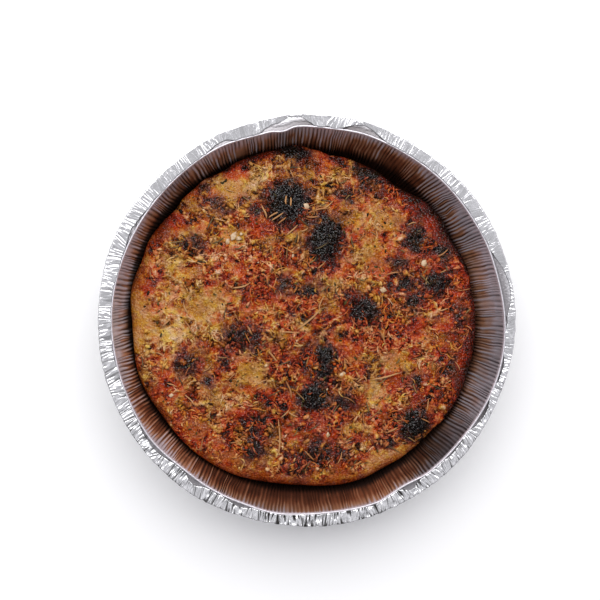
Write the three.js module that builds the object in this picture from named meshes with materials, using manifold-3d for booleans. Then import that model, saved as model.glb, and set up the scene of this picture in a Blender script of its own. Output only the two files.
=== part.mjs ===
// A herb focaccia in the round foil pan that it was baked in and is sold in. Millimetres, +Z up, with
// the origin at the middle of the pan's underside. The bread is a low domed loaf whose crust carries
// scorched bubbles, rosemary needles and bits of grated cheese. The pan is one pressed sheet of
// aluminium foil: a flat floor, a pleated wall, a flat flange and a crimped lip folded back over it.

import * as THREE from "three";
import { mergeVertices } from "three/addons/utils/BufferGeometryUtils.js";
import Module from "manifold-3d";

const wasm = await Module();
wasm.setup();

// Pan
const MOUTH_R = 105.4; // inside of the wall at the flange
const FLOOR_R = 91; // inside of the wall at the floor
const PAN_DEPTH = 43; // table to the top of the flange
const RIM_R = 112.3; // outer edge of the flange
const RIM_OVAL = 0.6; // the rim is this much wider along X, and narrower along Y
const RIM_DENT = 0.45; // depth of the flats that handling leaves in the rim
const FOIL = 0.8; // the real sheet is about 0.1, drawn thicker to make a workable solid
const HEEL = 2.2; // rounding between floor and wall
const PLEATS = 80; // the real wall has some five times as many
const PLEAT_DEPTH = 0.45;
const LIP_THICK = 1.1; // the folded lip stands this far above the flange
const LIP_MARGIN = 1.1; // flange left bare inside the lip all round
const CRIMP = 0.28; // height of the wrinkles in the lip
const BEAD = 0.35; // raised line along the mouth

// Dents and bulges of the pan's mouth: [direction in degrees, half width in degrees, reach]
const MOUTH_DENTS = [
  [104, 14, -1.7],
  [97.5, 4, -1.3],
  [196, 26, -0.7],
  [58, 22, -0.8],
  [-12, 30, 2.2],
  [-60, 9, -1.8],
  [-86, 18, -1.2],
  [-112, 14, -1.2],
  [-129, 16, -1.7],
  [142, 42, -1.1],
  [84, 12, -0.9],
  [36, 14, -0.55],
];

// Places where the lip stands away from the mouth and the smooth flange shows:
// [direction in degrees, half width in degrees, share of the flange laid bare]
const LIP_GAPS = [
  [97, 9, 0.75],
  [92.5, 5.5, 0.6],
  [74, 8, 0.75],
  [10, 13, 1.0],
  [-14, 6, 0.4],
  [-28, 7, 0.6],
  [-42, 5, 0.25],
  [-58, 4, 0.55],
  [-111, 5, 0.4],
  [-126, 5, 0.45],
  [-142, 11, 0.3],
  [152, 8, 0.25],
  [116, 5, 0.35],
];

// Bread
const BREAD_X = -1.4; // the loaf shrank away from the right of the pan
const EDGE_R = 95.5; // widest radius, at the shoulder
const WIDEST_Z = 25.5;
const BREAD_CLEAR = 0.4; // gap to the foil, beside and under the loaf
const SHOULDER_START = 0.85; // share of the radius where the top turns down
const SHOULDER_RISE = 5.4;
const CROWN_RISE = 3.8; // how far the middle stands above the shoulder
const FOOT = 3; // rounding under the loaf
const SWELL = 0.45; // height of the soft lumps in the dough
const CRUST_RINGS = 24;
const SHOULDER_RINGS = 4;

// Bulges and dents in the loaf's outline: [direction in degrees, half width in degrees, reach]
const EDGE_BULGES = [
  [93, 6, 1.7],
  [81, 5, -0.9],
  [64, 28, -3.4],
  [55, 10, -1.7],
  [29, 7, -1.9],
  [17, 7, 1.2],
  [119, 6, -1.2],
  [131, 6, -0.8],
  [139, 6, -1.6],
  [152, 8, 1.3],
  [170, 11, 1.5],
  [-2, 20, 0.9],
  [-20, 22, 1.8],
  [-36, 20, 1.0],
  [-42, 7, -0.8],
  [-62, 8, -0.9],
  [-96, 20, -2.9],
  [-160, 14, 1.0],
];

// Bubbles in the crust, scorched where they stood up: [x, y, half length in x, half length in y, height]
const BUBBLES = [
  [-11.6, 66.4, 13.5, 13.5, 3.2],
  [9.8, 45.8, 11.5, 16, 3.0],
  [-7.5, 91.5, 8.5, 5.5, 1.5],
  [33.8, 81.8, 8.5, 6.5, 2.0],
  [-78.9, 50.6, 8, 8.5, 2.2],
  [-63.3, 41.9, 7.5, 6.5, 1.8],
  [71.9, 21.0, 8, 8.5, 2.4],
  [30.8, 7.3, 11.5, 10, 2.6],
  [58.9, 45.8, 5.5, 8.5, 1.6],
  [75.7, 36.5, 5, 6.5, 1.2],
  [86.0, 0.4, 4.5, 8, 0.9],
  [-67.0, -21.5, 8.5, 8.5, 2.2],
  [-37.4, -6.8, 13, 7.5, 2.2],
  [10.4, -18.1, 5.8, 5.5, 1.8],
  [9.3, -28.0, 5, 5.5, 1.3],
  [2.7, -41.3, 8.5, 8.5, 2.4],
  [-29.9, -70.5, 8, 7.5, 2.0],
  [60.2, -58.6, 9.5, 10, 2.8],
  [-5.6, -80.3, 6, 6.5, 1.6],
  [6.6, -72.6, 8, 5, 1.4],
  [20.5, -74.5, 5, 5, 1.2],
  [44.5, -68.0, 5, 5, 1.1],
  [1.0, 16.2, 5.5, 5, 1.3],
  [51.2, 32.6, 5, 5, 1.1],
  [21.6, -43.7, 5.5, 6.5, 1.2],
];

// Rosemary needles
const NEEDLE_HALF_WIDTH = 0.75;
const NEEDLE_HALF_HEIGHT = 0.65;
const NEEDLE_LIFT = 0.25; // centre line above the crust
const SCATTERED_NEEDLES = 26;
const NEEDLE_SHORTEST = 5;
const NEEDLE_LONGEST = 11;

// The longest needles: [x, y, length, direction in degrees, bend]
const NEEDLES = [
  [5.6, 60.8, 13, 12, 0.3],
  [2.6, 57.2, 7, 0, 0.1],
  [-16.5, 57.2, 8, 34, 0.2],
  [-23.6, 60.0, 8, -70, 0.2],
  [-8.8, 50.0, 9, 42, -0.3],
  [-36.3, 20.1, 11, 18, -1.0],
  [-65.0, -3.3, 10, -57, 0.5],
  [-77.4, -0.8, 6, 45, 0.2],
  [7.3, 10.4, 8, 69, 0.1],
  [0.6, 1.6, 19, 41, -0.8],
  [-31.8, -4.7, 6, -60, 0.2],
  [-10.3, -37.6, 11, -75, 0.4],
  [-16.0, -64.6, 21, 89, -0.5],
  [1.0, -74.8, 8, -46, 0.2],
  [43.5, -31.1, 18, 13, 0.5],
  [47.6, -61.0, 7, 24, 0.1],
  [41.4, -9.1, 9, -68, 0.3],
  [47.0, 26.4, 8, 10, 0.2],
  [-18.7, -19.2, 9, -50, -0.3],
  [-9.4, -6.3, 11, 0, 0.6],
];

// Bits of grated cheese and coarse salt, pressed into the crust
const SCATTERED_BITS = 26;
const BIT_SMALLEST = 1.1; // half length
const BIT_LARGEST = 1.9;
const BIT_FLATNESS = 0.55; // half height over half length
const BIT_SUNK = 0.25; // how far its middle lies below the crust, over its half height

// The palest and largest bits: [x, y, length]
const PALE_BITS = [
  [-39.5, 46.4, 8.5],
  [-43.5, 43.5, 5.0],
  [-0.4, 62.7, 5.6],
  [-8.3, 35.9, 4.2],
  [41.3, 17.2, 5.4],
  [64.5, 32.1, 5.6],
  [19.3, -29.2, 5.0],
  [-75.0, -40.7, 4.0],
  [11.6, -63.2, 4.0],
];

const GOLDEN_ANGLE = Math.PI * (3 - Math.sqrt(5));
const SCATTER_R = 80; // scattered toppings keep to the flat of the crown
const UP = new THREE.Vector3(0, 0, 1);

// A number from 0 to 1 that looks random and is the same on every run.
function chance(index, draw) {
  const wave = Math.sin(index * 12.9898 + draw * 78.233) * 43758.5453;
  return wave - Math.floor(wave);
}

// 1 at the middle, falling smoothly to 0 at a distance of 1.
function hump(distance) {
  return distance < 1 ? (1 - distance * distance) ** 2 : 0;
}

// How much of each [direction, half width, amount] is felt in one direction.
function feltAt(angle, places) {
  let felt = 0;
  for (const [direction, halfWidth, amount] of places) {
    const off = THREE.MathUtils.euclideanModulo(
      THREE.MathUtils.radToDeg(angle) - direction + 180,
      360,
    );
    felt += amount * hump(Math.abs(off - 180) / halfWidth);
  }
  return felt;
}

function mouthRadius(angle) {
  return MOUTH_R + feltAt(angle, MOUTH_DENTS);
}

// Inside of the wall, before it is pleated. Dents fade out towards the floor.
function wallRadius(z, angle) {
  return FLOOR_R + ((mouthRadius(angle) - FLOOR_R) * z) / PAN_DEPTH;
}

function rimRadius(angle) {
  const flats = Math.sin(5 * angle + 0.8) + Math.sin(9 * angle + 2.1);
  return RIM_R + RIM_OVAL * Math.cos(2 * angle) + (RIM_DENT * flats) / 2;
}

// The lip's inner edge, between the mouth and the rim.
function lipRadius(angle) {
  const closed = mouthRadius(angle) + LIP_MARGIN;
  const open = rimRadius(angle) - 1.3;
  const bare = Math.min(1, feltAt(angle, LIP_GAPS));
  return closed + (open - closed) * bare + 0.35 * Math.sin(31 * angle);
}

// A closed solid turned about Z. Each ring is a function of the direction and of the station, giving
// [radius, height]. The first and last rings lie on the axis.
function turned(rings, stations) {
  const outline = rings.map((ring) => new THREE.Vector2(...ring(0, 0)));
  const lathe = new THREE.LatheGeometry(outline, stations);
  const position = lathe.getAttribute("position");
  for (let i = 0; i < position.count; i++) {
    const station = Math.floor(i / rings.length) % stations;
    const angle = (2 * Math.PI * station) / stations;
    const [radius, height] = rings[i % rings.length](angle, station);
    position.setXYZ(i, radius * Math.cos(angle), radius * Math.sin(angle), height);
  }
  return onlyPositions(lathe);
}

// The same surface with its shared corners merged and nothing but positions.
function onlyPositions(geometry) {
  const bare = new THREE.BufferGeometry();
  bare.setAttribute("position", geometry.getAttribute("position"));
  bare.setIndex(geometry.getIndex());
  return withoutSlivers(mergeVertices(bare, 1e-4));
}

// Drops the triangles that merging has closed up, such as those at a pole.
function withoutSlivers(geometry) {
  const index = geometry.getIndex().array;
  const kept = [];
  for (let i = 0; i < index.length; i += 3) {
    const [a, b, c] = [index[i], index[i + 1], index[i + 2]];
    if (a !== b && b !== c && c !== a) kept.push(a, b, c);
  }
  geometry.setIndex(kept);
  return geometry;
}

// Foil pan: floor, pleated wall, flange, rolled edge and folded lip, out and back along one section.
function foilPan() {
  const flange = PAN_DEPTH;
  // Pleats alternate in and out, some deeper than others.
  const pleat = (station) =>
    (station % 2 ? 1 : -1) * PLEAT_DEPTH * (0.55 + 0.45 * chance(station >> 1, 3));
  const crimp = (station) => CRIMP * (2 * chance(station, 5) - 1);
  const wall = (z, out) => (angle, station) => [
    wallRadius(z, angle) + out + pleat(station),
    z,
  ];
  const rings = [
    () => [0, 0],
    () => [FLOOR_R - HEEL, 0],
    () => [FLOOR_R + 0.4, 0.9],
    wall(4, FOIL),
    wall(flange - 3, FOIL),
    (angle) => [mouthRadius(angle) + FOIL, flange - FOIL],
    (angle) => [rimRadius(angle) - 0.5, flange - FOIL],
    (angle, station) => [rimRadius(angle), flange + crimp(station)],
    (angle, station) => [rimRadius(angle) - 0.5, flange + LIP_THICK + crimp(station)],
    (angle, station) => [lipRadius(angle) + 0.2, flange + LIP_THICK + crimp(station + 1)],
    (angle) => [lipRadius(angle), flange],
    (angle) => [mouthRadius(angle) + 0.6, flange],
    (angle) => [mouthRadius(angle) + 0.1, flange + BEAD],
    wall(flange - 1.5, 0),
    wall(4.5, 0),
    () => [FLOOR_R - HEEL - 0.6, FOIL],
    () => [0, FOIL],
  ];
  return turned(rings, 2 * PLEATS);
}

// The loaf's widest outline, about its own middle.
function edgeRadius(angle) {
  return EDGE_R + feltAt(angle, EDGE_BULGES) + 0.3 * Math.sin(11 * angle + 1.3);
}

// Height of the crust over a point of the loaf, from its own middle.
function crustHeight(x, y) {
  const share = Math.min(1, Math.hypot(x, y) / edgeRadius(Math.atan2(y, x)));
  const turn = Math.max(0, (share - SHOULDER_START) / (1 - SHOULDER_START));
  let height = WIDEST_Z + SHOULDER_RISE * Math.sqrt(1 - turn * turn);
  height += CROWN_RISE * (1 - share * share);
  const raised = 1 - turn ** 4; // lumps and bubbles fade out at the edge
  height += raised * SWELL * (Math.sin(x / 7.3 + 1.1) * Math.cos(y / 8.9 - 0.4));
  height += raised * 0.6 * SWELL * Math.sin(x / 4.1 - y / 5.2);
  for (const [bx, by, halfX, halfY, rise] of BUBBLES) {
    const off = Math.hypot((x - bx + BREAD_X) / halfX, (y - by) / halfY);
    if (off < 1) height += raised * rise * (1 - off * off) ** 1.2;
  }
  return height;
}

// Keeps a point of the loaf off the pleats of the wall.
function offTheWall(point) {
  const limit = wallRadius(point.z, Math.atan2(point.y, point.x)) - PLEAT_DEPTH - BREAD_CLEAR;
  const reach = Math.hypot(point.x, point.y);
  if (reach > limit) {
    point.x *= limit / reach;
    point.y *= limit / reach;
  }
  return point;
}

// Loaf: the crust is a disc of rings, ring k with 6k points, so that its triangles are all of about
// one size. Four rings then carry the side down to the foot, and a fan closes the underside.
function loaf() {
  const points = [];
  const faces = [];
  const flatRings = CRUST_RINGS - SHOULDER_RINGS;
  const addRing = (count, place) => {
    const first = points.length;
    for (let j = 0; j < count; j++) points.push(place((2 * Math.PI * j) / count));
    return first;
  };
  const crustRing = (k) => {
    const turn = Math.max(0, k - flatRings) / SHOULDER_RINGS;
    const share =
      k <= flatRings
        ? (SHOULDER_START * k) / flatRings
        : SHOULDER_START + (1 - SHOULDER_START) * Math.sin((Math.PI / 2) * turn);
    return addRing(Math.max(1, 6 * k), (angle) => {
      const radius = share * edgeRadius(angle);
      const [x, y] = [radius * Math.cos(angle), radius * Math.sin(angle)];
      return offTheWall(new THREE.Vector3(x + BREAD_X, y, crustHeight(x, y)));
    });
  };

  let inner = crustRing(0);
  for (let k = 1; k <= CRUST_RINGS; k++) {
    const outer = crustRing(k);
    const innerCount = Math.max(1, 6 * (k - 1));
    for (let sextant = 0; sextant < 6; sextant++) {
      for (let i = 0; i < k; i++) {
        const a = inner + ((sextant * (k - 1) + i) % innerCount);
        const b = outer + sextant * k + i;
        const c = outer + ((sextant * k + i + 1) % (6 * k));
        faces.push(a, b, c);
        if (i < k - 1) faces.push(a, c, inner + ((sextant * (k - 1) + i + 1) % innerCount));
      }
    }
    inner = outer;
  }

  const foot = FOIL + BREAD_CLEAR;
  const slope = (MOUTH_R - FLOOR_R) / PAN_DEPTH;
  const count = 6 * CRUST_RINGS;
  const side = [
    [WIDEST_Z - 5, 1.0],
    [WIDEST_Z - 13, 1.6],
    [foot + FOOT, 2.0],
    [foot, 2.0 + FOOT],
  ];
  for (const [z, drawnIn] of side) {
    const outer = addRing(count, (angle) => {
      const radius = edgeRadius(angle) - slope * (WIDEST_Z - z) - drawnIn;
      const [x, y] = [radius * Math.cos(angle), radius * Math.sin(angle)];
      return offTheWall(new THREE.Vector3(x + BREAD_X, y, z));
    });
    for (let j = 0; j < count; j++) {
      const next = (j + 1) % count;
      faces.push(inner + j, outer + j, outer + next, inner + j, outer + next, inner + next);
    }
    inner = outer;
  }
  points.push(new THREE.Vector3(BREAD_X, 0, foot));
  for (let j = 0; j < count; j++) {
    faces.push(inner + j, points.length - 1, inner + ((j + 1) % count));
  }

  const geometry = new THREE.BufferGeometry().setFromPoints(points);
  geometry.setIndex(faces);
  return geometry;
}

// Finds how high the faceted crust stands at a point of the pan's frame.
function heightFinder(crust) {
  const mesh = new THREE.Mesh(crust, new THREE.MeshBasicMaterial());
  const ray = new THREE.Raycaster();
  const down = UP.clone().negate();
  return (x, y) => {
    ray.set(new THREE.Vector3(x, y, 2 * PAN_DEPTH), down);
    return ray.intersectObject(mesh)[0].point.z;
  };
}

// A rosemary needle: a thin pointed grain, bent sideways, that follows the crust below it.
function needle(heightAt, x, y, length, direction, bend) {
  const grain = new THREE.SphereGeometry(1, 5, 4);
  grain.rotateZ(Math.PI / 2);
  const position = grain.getAttribute("position");
  const turn = THREE.MathUtils.degToRad(direction);
  for (let i = 0; i < position.count; i++) {
    const along = (position.getX(i) * length) / 2;
    const sideways = position.getY(i) * NEEDLE_HALF_WIDTH + bend * (1 - position.getX(i) ** 2);
    const px = x + along * Math.cos(turn) - sideways * Math.sin(turn);
    const py = y + along * Math.sin(turn) + sideways * Math.cos(turn);
    const line = heightAt(x + along * Math.cos(turn), y + along * Math.sin(turn));
    position.setXYZ(i, px, py, line + NEEDLE_LIFT + position.getZ(i) * NEEDLE_HALF_HEIGHT);
  }
  return onlyPositions(grain);
}

// A bit of cheese or salt: a flattened many-sided lump, half sunk in the crust.
function bit(heightAt, x, y, halfLength, draw) {
  const lump = new THREE.IcosahedronGeometry(1, 0);
  lump.rotateX(6 * chance(draw, 21));
  lump.scale(halfLength, halfLength * (0.6 + 0.4 * chance(draw, 22)), halfLength * BIT_FLATNESS);
  lump.rotateZ(6 * chance(draw, 23));
  lump.translate(x, y, heightAt(x, y) - BIT_SUNK * halfLength * BIT_FLATNESS);
  return onlyPositions(lump);
}

// A point of the crown, spread evenly over it by the golden angle and then nudged.
function scattered(index, count, draw) {
  const radius = SCATTER_R * Math.sqrt((index + 0.5) / count);
  const angle = index * GOLDEN_ANGLE + draw;
  const nudge = 6;
  return [
    radius * Math.cos(angle) + nudge * (chance(index, draw) - 0.5),
    radius * Math.sin(angle) + nudge * (chance(index, draw + 1) - 0.5),
  ];
}

function toppings(heightAt) {
  const pieces = NEEDLES.map((row) => needle(heightAt, ...row));
  for (let i = 0; i < SCATTERED_NEEDLES; i++) {
    const [x, y] = scattered(i, SCATTERED_NEEDLES, 1);
    const length = THREE.MathUtils.lerp(NEEDLE_SHORTEST, NEEDLE_LONGEST, chance(i, 11));
    pieces.push(needle(heightAt, x, y, length, 180 * chance(i, 12), 2 * chance(i, 13) - 1));
  }
  PALE_BITS.forEach(([x, y, length], i) => {
    pieces.push(bit(heightAt, x, y, length / 2, 100 + i));
  });
  for (let i = 0; i < SCATTERED_BITS; i++) {
    const [x, y] = scattered(i, SCATTERED_BITS, 4);
    const halfLength = THREE.MathUtils.lerp(BIT_SMALLEST, BIT_LARGEST, chance(i, 14));
    pieces.push(bit(heightAt, x, y, halfLength, i));
  }
  return pieces;
}

function solid(geometry) {
  return new wasm.Manifold(
    new wasm.Mesh({
      numProp: 3,
      vertProperties: geometry.getAttribute("position").array,
      triVerts: new Uint32Array(geometry.getIndex().array),
    }),
  );
}

function geometryOf(joined) {
  const mesh = joined.getMesh();
  const geometry = new THREE.BufferGeometry();
  geometry.setAttribute("position", new THREE.BufferAttribute(mesh.vertProperties, 3));
  geometry.setIndex(new THREE.BufferAttribute(mesh.triVerts, 1));
  return geometry;
}

function focaccia() {
  const crust = loaf();
  const heightAt = heightFinder(crust);
  let joined = solid(crust);
  for (const piece of toppings(heightAt)) joined = joined.add(solid(piece));
  return geometryOf(joined);
}

function named(name, geometry, material) {
  geometry.computeVertexNormals();
  const mesh = new THREE.Mesh(geometry, material);
  mesh.name = name;
  return mesh;
}

const crustMaterial = new THREE.MeshStandardMaterial({
  color: 0xb5702f,
  roughness: 0.75,
  metalness: 0,
});
const foilMaterial = new THREE.MeshStandardMaterial({
  color: 0xd9dadc,
  roughness: 0.3,
  metalness: 1,
});

const part = new THREE.Group();
part.add(named("foil_pan", foilPan(), foilMaterial));
part.add(named("focaccia", focaccia(), crustMaterial));

// The rim is a little uneven, so the whole is moved to centre its box on the origin.
const middle = new THREE.Box3().setFromObject(part, true).getCenter(new THREE.Vector3());
part.position.set(-middle.x, -middle.y, 0);

export default part;
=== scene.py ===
# A herb focaccia in the round foil pan that it was baked in. Blender's units are metres; sizes are
# written below in millimetres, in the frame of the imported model, and turned to metres by MM.

import bpy
import numpy as np
from mathutils import Matrix, Vector


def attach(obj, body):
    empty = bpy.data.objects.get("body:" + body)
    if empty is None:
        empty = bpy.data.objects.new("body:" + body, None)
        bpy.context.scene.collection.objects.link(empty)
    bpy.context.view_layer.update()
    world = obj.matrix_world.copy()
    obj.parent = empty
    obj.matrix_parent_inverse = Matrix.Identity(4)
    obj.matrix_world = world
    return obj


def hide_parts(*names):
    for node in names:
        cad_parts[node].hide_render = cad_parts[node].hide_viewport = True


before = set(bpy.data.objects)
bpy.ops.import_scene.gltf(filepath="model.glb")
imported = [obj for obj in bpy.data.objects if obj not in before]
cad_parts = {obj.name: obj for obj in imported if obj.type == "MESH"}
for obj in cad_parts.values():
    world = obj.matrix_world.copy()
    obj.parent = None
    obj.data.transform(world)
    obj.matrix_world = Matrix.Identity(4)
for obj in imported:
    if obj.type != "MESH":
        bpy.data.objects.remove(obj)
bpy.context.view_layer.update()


# Camera
# A phone held half a metre above the pan, looking almost straight down, a little from the left and
# from behind. Its picture is square, and the pan lies right of and below the middle.

MM = 0.001
EYE = Vector((-31.3, 39.3, 543.0)) * MM
AIM = Vector((-5.0, 12.3, 43.0)) * MM
LENS = 55.8

camera_data = bpy.data.cameras.new("camera")
camera_data.sensor_width = 36
camera_data.lens = LENS
camera_data.clip_start = 0.01
camera_data.clip_end = 20
camera = bpy.data.objects.new("camera", camera_data)
bpy.context.scene.collection.objects.link(camera)
forward = (AIM - EYE).normalized()
rightward = forward.cross(Vector((0, 1, 0))).normalized()
upward = rightward.cross(forward)
facing = Matrix((rightward, upward, -forward)).transposed()
camera.matrix_world = Matrix.Translation(EYE) @ facing.to_4x4()
bpy.context.scene.camera = camera
bpy.context.scene.view_settings.view_transform = "Standard"


# Studio
# A seamless white table in a pale tent, with one wide softbox above and behind the pan. Overhead the
# tent is open to a dimmer ceiling, and its front side and the part close to the table are dimmer too.

TABLE_SIDE = 6.0
TABLE_WHITE = "#FCFCFC"
SOFTBOX_SIZE = (3.0, 1.8)
SOFTBOX_PLACE = Vector((-0.1, 1.28, 1.6))
SOFTBOX_POWER = 47.0
TENT_WHITE = "#FBFAFF"
TENT_BRIGHTNESS = 0.85
OPENING_BRIGHTNESS = 0.42
OPENING_TOWARDS = Vector((0.04, -0.14, 1.0)).normalized()
# Where the opening ends and the full tent begins: cosines of the angle to the opening's middle
OPENING_EDGE = (0.99, 0.92)
# Parts of the direction along Y and Z between which the tent darkens, and the share that is left
FRONT_EDGE = (-0.1, -0.75)
FRONT_SHARE = 0.15
LOW_EDGE = (0.3, 0.6)
LOW_SHARE = 0.12


def linear(hex_colour):
    """An sRGB hex colour as the linear red, green, blue and alpha that shaders take."""
    channels = [int(hex_colour[i : i + 2], 16) / 255 for i in (1, 3, 5)]
    return [c / 12.92 if c <= 0.04045 else ((c + 0.055) / 1.055) ** 2.4 for c in channels] + [1.0]


def add_node(tree, kind, inputs=None, **settings):
    """Adds a node. An input is given by its name or number, as a value or as another node's output."""
    node = tree.nodes.new(kind)
    for name, value in settings.items():
        setattr(node, name, value)
    for socket, value in (inputs or {}).items():
        if isinstance(value, bpy.types.NodeSocket):
            tree.links.new(value, node.inputs[socket])
        else:
            node.inputs[socket].default_value = value
    return node


def start_material(name):
    """An empty material, its node tree, and the socket that its shader goes to."""
    material = bpy.data.materials.new(name)
    material.use_nodes = True
    tree = material.node_tree
    tree.nodes.clear()
    return material, tree, add_node(tree, "ShaderNodeOutputMaterial").inputs["Surface"]


def painted_table():
    """Matt white board: it takes the shadow and shows nothing else."""
    material, tree, surface = start_material("matt_white_board")
    shader = add_node(
        tree,
        "ShaderNodeBsdfPrincipled",
        {"Base Color": linear(TABLE_WHITE), "Roughness": 0.9, "Specular IOR Level": 0.1},
    )
    tree.links.new(shader.outputs[0], surface)
    return material


table_mesh = bpy.data.meshes.new("table")
half = TABLE_SIDE / 2
table_corners = [(-half, -half, 0), (half, -half, 0), (half, half, 0), (-half, half, 0)]
table_mesh.from_pydata(table_corners, [], [(0, 1, 2, 3)])
table_mesh.materials.append(painted_table())
table = bpy.data.objects.new("table", table_mesh)
bpy.context.scene.collection.objects.link(table)

softbox_data = bpy.data.lights.new("softbox", "AREA")
softbox_data.shape = "RECTANGLE"
softbox_data.size, softbox_data.size_y = SOFTBOX_SIZE
softbox_data.energy = SOFTBOX_POWER
softbox = bpy.data.objects.new("softbox", softbox_data)
softbox.location = SOFTBOX_PLACE
softbox.rotation_euler = (-SOFTBOX_PLACE).to_track_quat("-Z", "Y").to_euler()
bpy.context.scene.collection.objects.link(softbox)

room = bpy.data.worlds.new("room")
bpy.context.scene.world = room
room.use_nodes = True
sky = room.node_tree
sky.nodes.clear()
direction = add_node(sky, "ShaderNodeTexCoord").outputs["Generated"]
axes = add_node(sky, "ShaderNodeSeparateXYZ", {0: direction})
from_opening = add_node(
    sky,
    "ShaderNodeVectorMath",
    {0: direction, 1: OPENING_TOWARDS},
    operation="DOT_PRODUCT",
)
# Smooth changes of brightness, each from a start to an end across an edge in a part of the direction
changes = []
for way, edge, start, end in (
    (from_opening.outputs["Value"], OPENING_EDGE, 0.0, TENT_BRIGHTNESS - OPENING_BRIGHTNESS),
    (axes.outputs["Y"], FRONT_EDGE, 1.0, FRONT_SHARE),
    (axes.outputs["Z"], LOW_EDGE, LOW_SHARE, 1.0),
):
    limits = {"Value": way, "From Min": edge[0], "From Max": edge[1], "To Min": start, "To Max": end}
    change = add_node(sky, "ShaderNodeMapRange", limits, interpolation_type="SMOOTHSTEP")
    changes.append(change.outputs[0])
tent, shaded, low = changes
whole = add_node(
    sky,
    "ShaderNodeMath",
    {0: tent, 1: shaded, 2: OPENING_BRIGHTNESS},
    operation="MULTIPLY_ADD",
)
brightness = add_node(sky, "ShaderNodeMath", {0: whole.outputs[0], 1: low}, operation="MULTIPLY")
glow = add_node(
    sky,
    "ShaderNodeBackground",
    {"Color": linear(TENT_WHITE), "Strength": brightness.outputs[0]},
)
add_node(sky, "ShaderNodeOutputWorld", {0: glow.outputs[0]})


# Foil pan
# A round baking pan pressed from one sheet of aluminium foil. Pressing a flat sheet deep gathers its
# wall into some 350 fine upright pleats. It is bright foil, stained brown inside by the oil.

MOUTH_R = 105.4
FLOOR_R = 91.0
PAN_DEPTH = 43.0
RIM_R = 112.3
RIM_OVAL = 0.6
RIM_DENT = 0.45
# The sheet is drawn three times as thick as it is, so that its two faces stay apart in the pleats
SHEET = 0.3
HEEL = 2.2
BEAD = 0.4
WALL_PLEATS = 350
PLEAT_DEPTH = 1.0
POINTS_ON_A_PLEAT = 6
WALL_LEVELS = np.linspace(3, PAN_DEPTH - 1.4, 12)
# Direction and half width in degrees, reach outwards
MOUTH_DENTS = [
    (104, 14, -1.7),
    (97.5, 4, -1.3),
    (196, 26, -0.7),
    (58, 22, -0.8),
    (-12, 30, 2.2),
    (-60, 9, -1.8),
    (-86, 18, -1.2),
    (-112, 14, -1.2),
    (-129, 16, -1.7),
    (142, 42, -1.1),
    (84, 12, -0.9),
    (36, 14, -0.55),
]
# Direction, half width, and how much more or less oil film the wall has there; the film there is part
# real and part painted light and shade for how the light falls on that side of the wall
WALL_FILM_AND_LIGHT = [
    (92, 36, -0.08),
    (112, 14, -0.1),
    (135, 30, -0.1),
    (22, 38, -0.3),
    (0, 22, -0.16),
    (-30, 36, -0.36),
    (-80, 75, 0.16),
    (-120, 16, 0.1),
    (-136, 10, -0.05),
    (-152, 12, 0.1),
    (173, 26, -0.3),
]
# The oil film: its usual share on the wall, the least of it, and what the crests of the pleats lack
WALL_OIL = 0.68
THINNEST_OIL = 0.22
DRY_CREST = 0.62
# Direction, half width, and how much more the crests of the pleats are scuffed dry and their valleys
# painted in shade there
SCUFFED_AND_SHADED_PLEATS = [(180, 30, 1.7), (105, 55, 0.4), (38, 19, 1.9), (-92, 50, -0.3), (-120, 14, 0.3)]
# Direction, half width, and how much darker the wall is painted there, all the way up or towards the
# mouth
DARKER_WALL = [(97, 7, 0.2), (133, 8, 0.4), (-45, 24, 0.85), (-14, 28, 0.45)]
DARKER_MOUTH = [(-98, 50, 0.45)]
# Painted shade low on the wall, where the loaf stands close to it: direction, half width, how much
# higher up it reaches
CLOSE_TO_LOAF = [(88, 25, -4), (155, 40, 8.5), (-160, 35, 6), (-131, 13, 6), (-70, 25, 5), (15, 60, -6)]
LOAF_SHADE_TOP = 23
# Direction, half width, and how much more painted shade the bare flange has there
SHADED_FLANGE = [(82, 24, 0.3), (-22, 14, 0.3)]
# The web of creases in the foil's face is 1.3 mm wide
WEB = 1.3
FOIL_COLOUR = "#E4E4E6"
# The colours that shade is painted in: grey in the lip's folds, and dark brown inside the pan, in the
# pleat valleys, on the wall next to the loaf, on the bare flange and in the wall's darker places
FOLD_SHADE_COLOUR = "#383634"
OILED_SHADE_COLOUR = "#241814"
OIL_COLOURS = [(0, FOIL_COLOUR), (0.3, "#DCD2DC"), (0.6, "#C68E6C"), (0.8, "#96573A"), (1, "#5C301E")]
# From this share of oil on, the foil looks like varnish and no longer like metal
OIL_COVERS = 0.3


def noise(points, size, seed=0):
    """Smooth noise from -1 to 1 at points in millimetres, with lumps of about the size given."""
    cells = points / size + 4096.0
    corner = np.floor(cells).astype(np.int64)
    part = cells - corner
    part = part * part * (3 - 2 * part)
    total = np.zeros(len(points))
    for step in np.ndindex(2, 2, 2):
        at = corner + step
        key = (at[:, 0] * 73856093) ^ (at[:, 1] * 19349663) ^ (at[:, 2] * 83492791) ^ (seed * 40503011)
        key &= 0xFFFFFFFF
        key = ((key ^ (key >> 13)) * 1274126177) & 0xFFFFFFFF
        value = ((key ^ (key >> 16)) & 0xFFFF) / 0xFFFF
        total += value * np.prod(np.where(step, part, 1 - part), axis=1)
    return 2 * total - 1


def felt_at(angle, places):
    """How much of a list of (direction, half width, amount), in degrees, is felt in a direction."""
    felt = np.zeros_like(angle)
    for facing, half_width, amount in places:
        off = np.abs((np.degrees(angle) - facing + 180) % 360 - 180) / half_width
        felt += amount * np.where(off < 1, (1 - off**2) ** 2, 0)
    return felt


def mouth_radius(angle):
    """The mouth has been dented and pulled wide here and there."""
    return MOUTH_R + felt_at(angle, MOUTH_DENTS)


def wall_radius(z, angle):
    """The wall without its pleats: straight from the floor up to the mouth."""
    return FLOOR_R + (mouth_radius(angle) - FLOOR_R) * z / PAN_DEPTH


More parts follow.
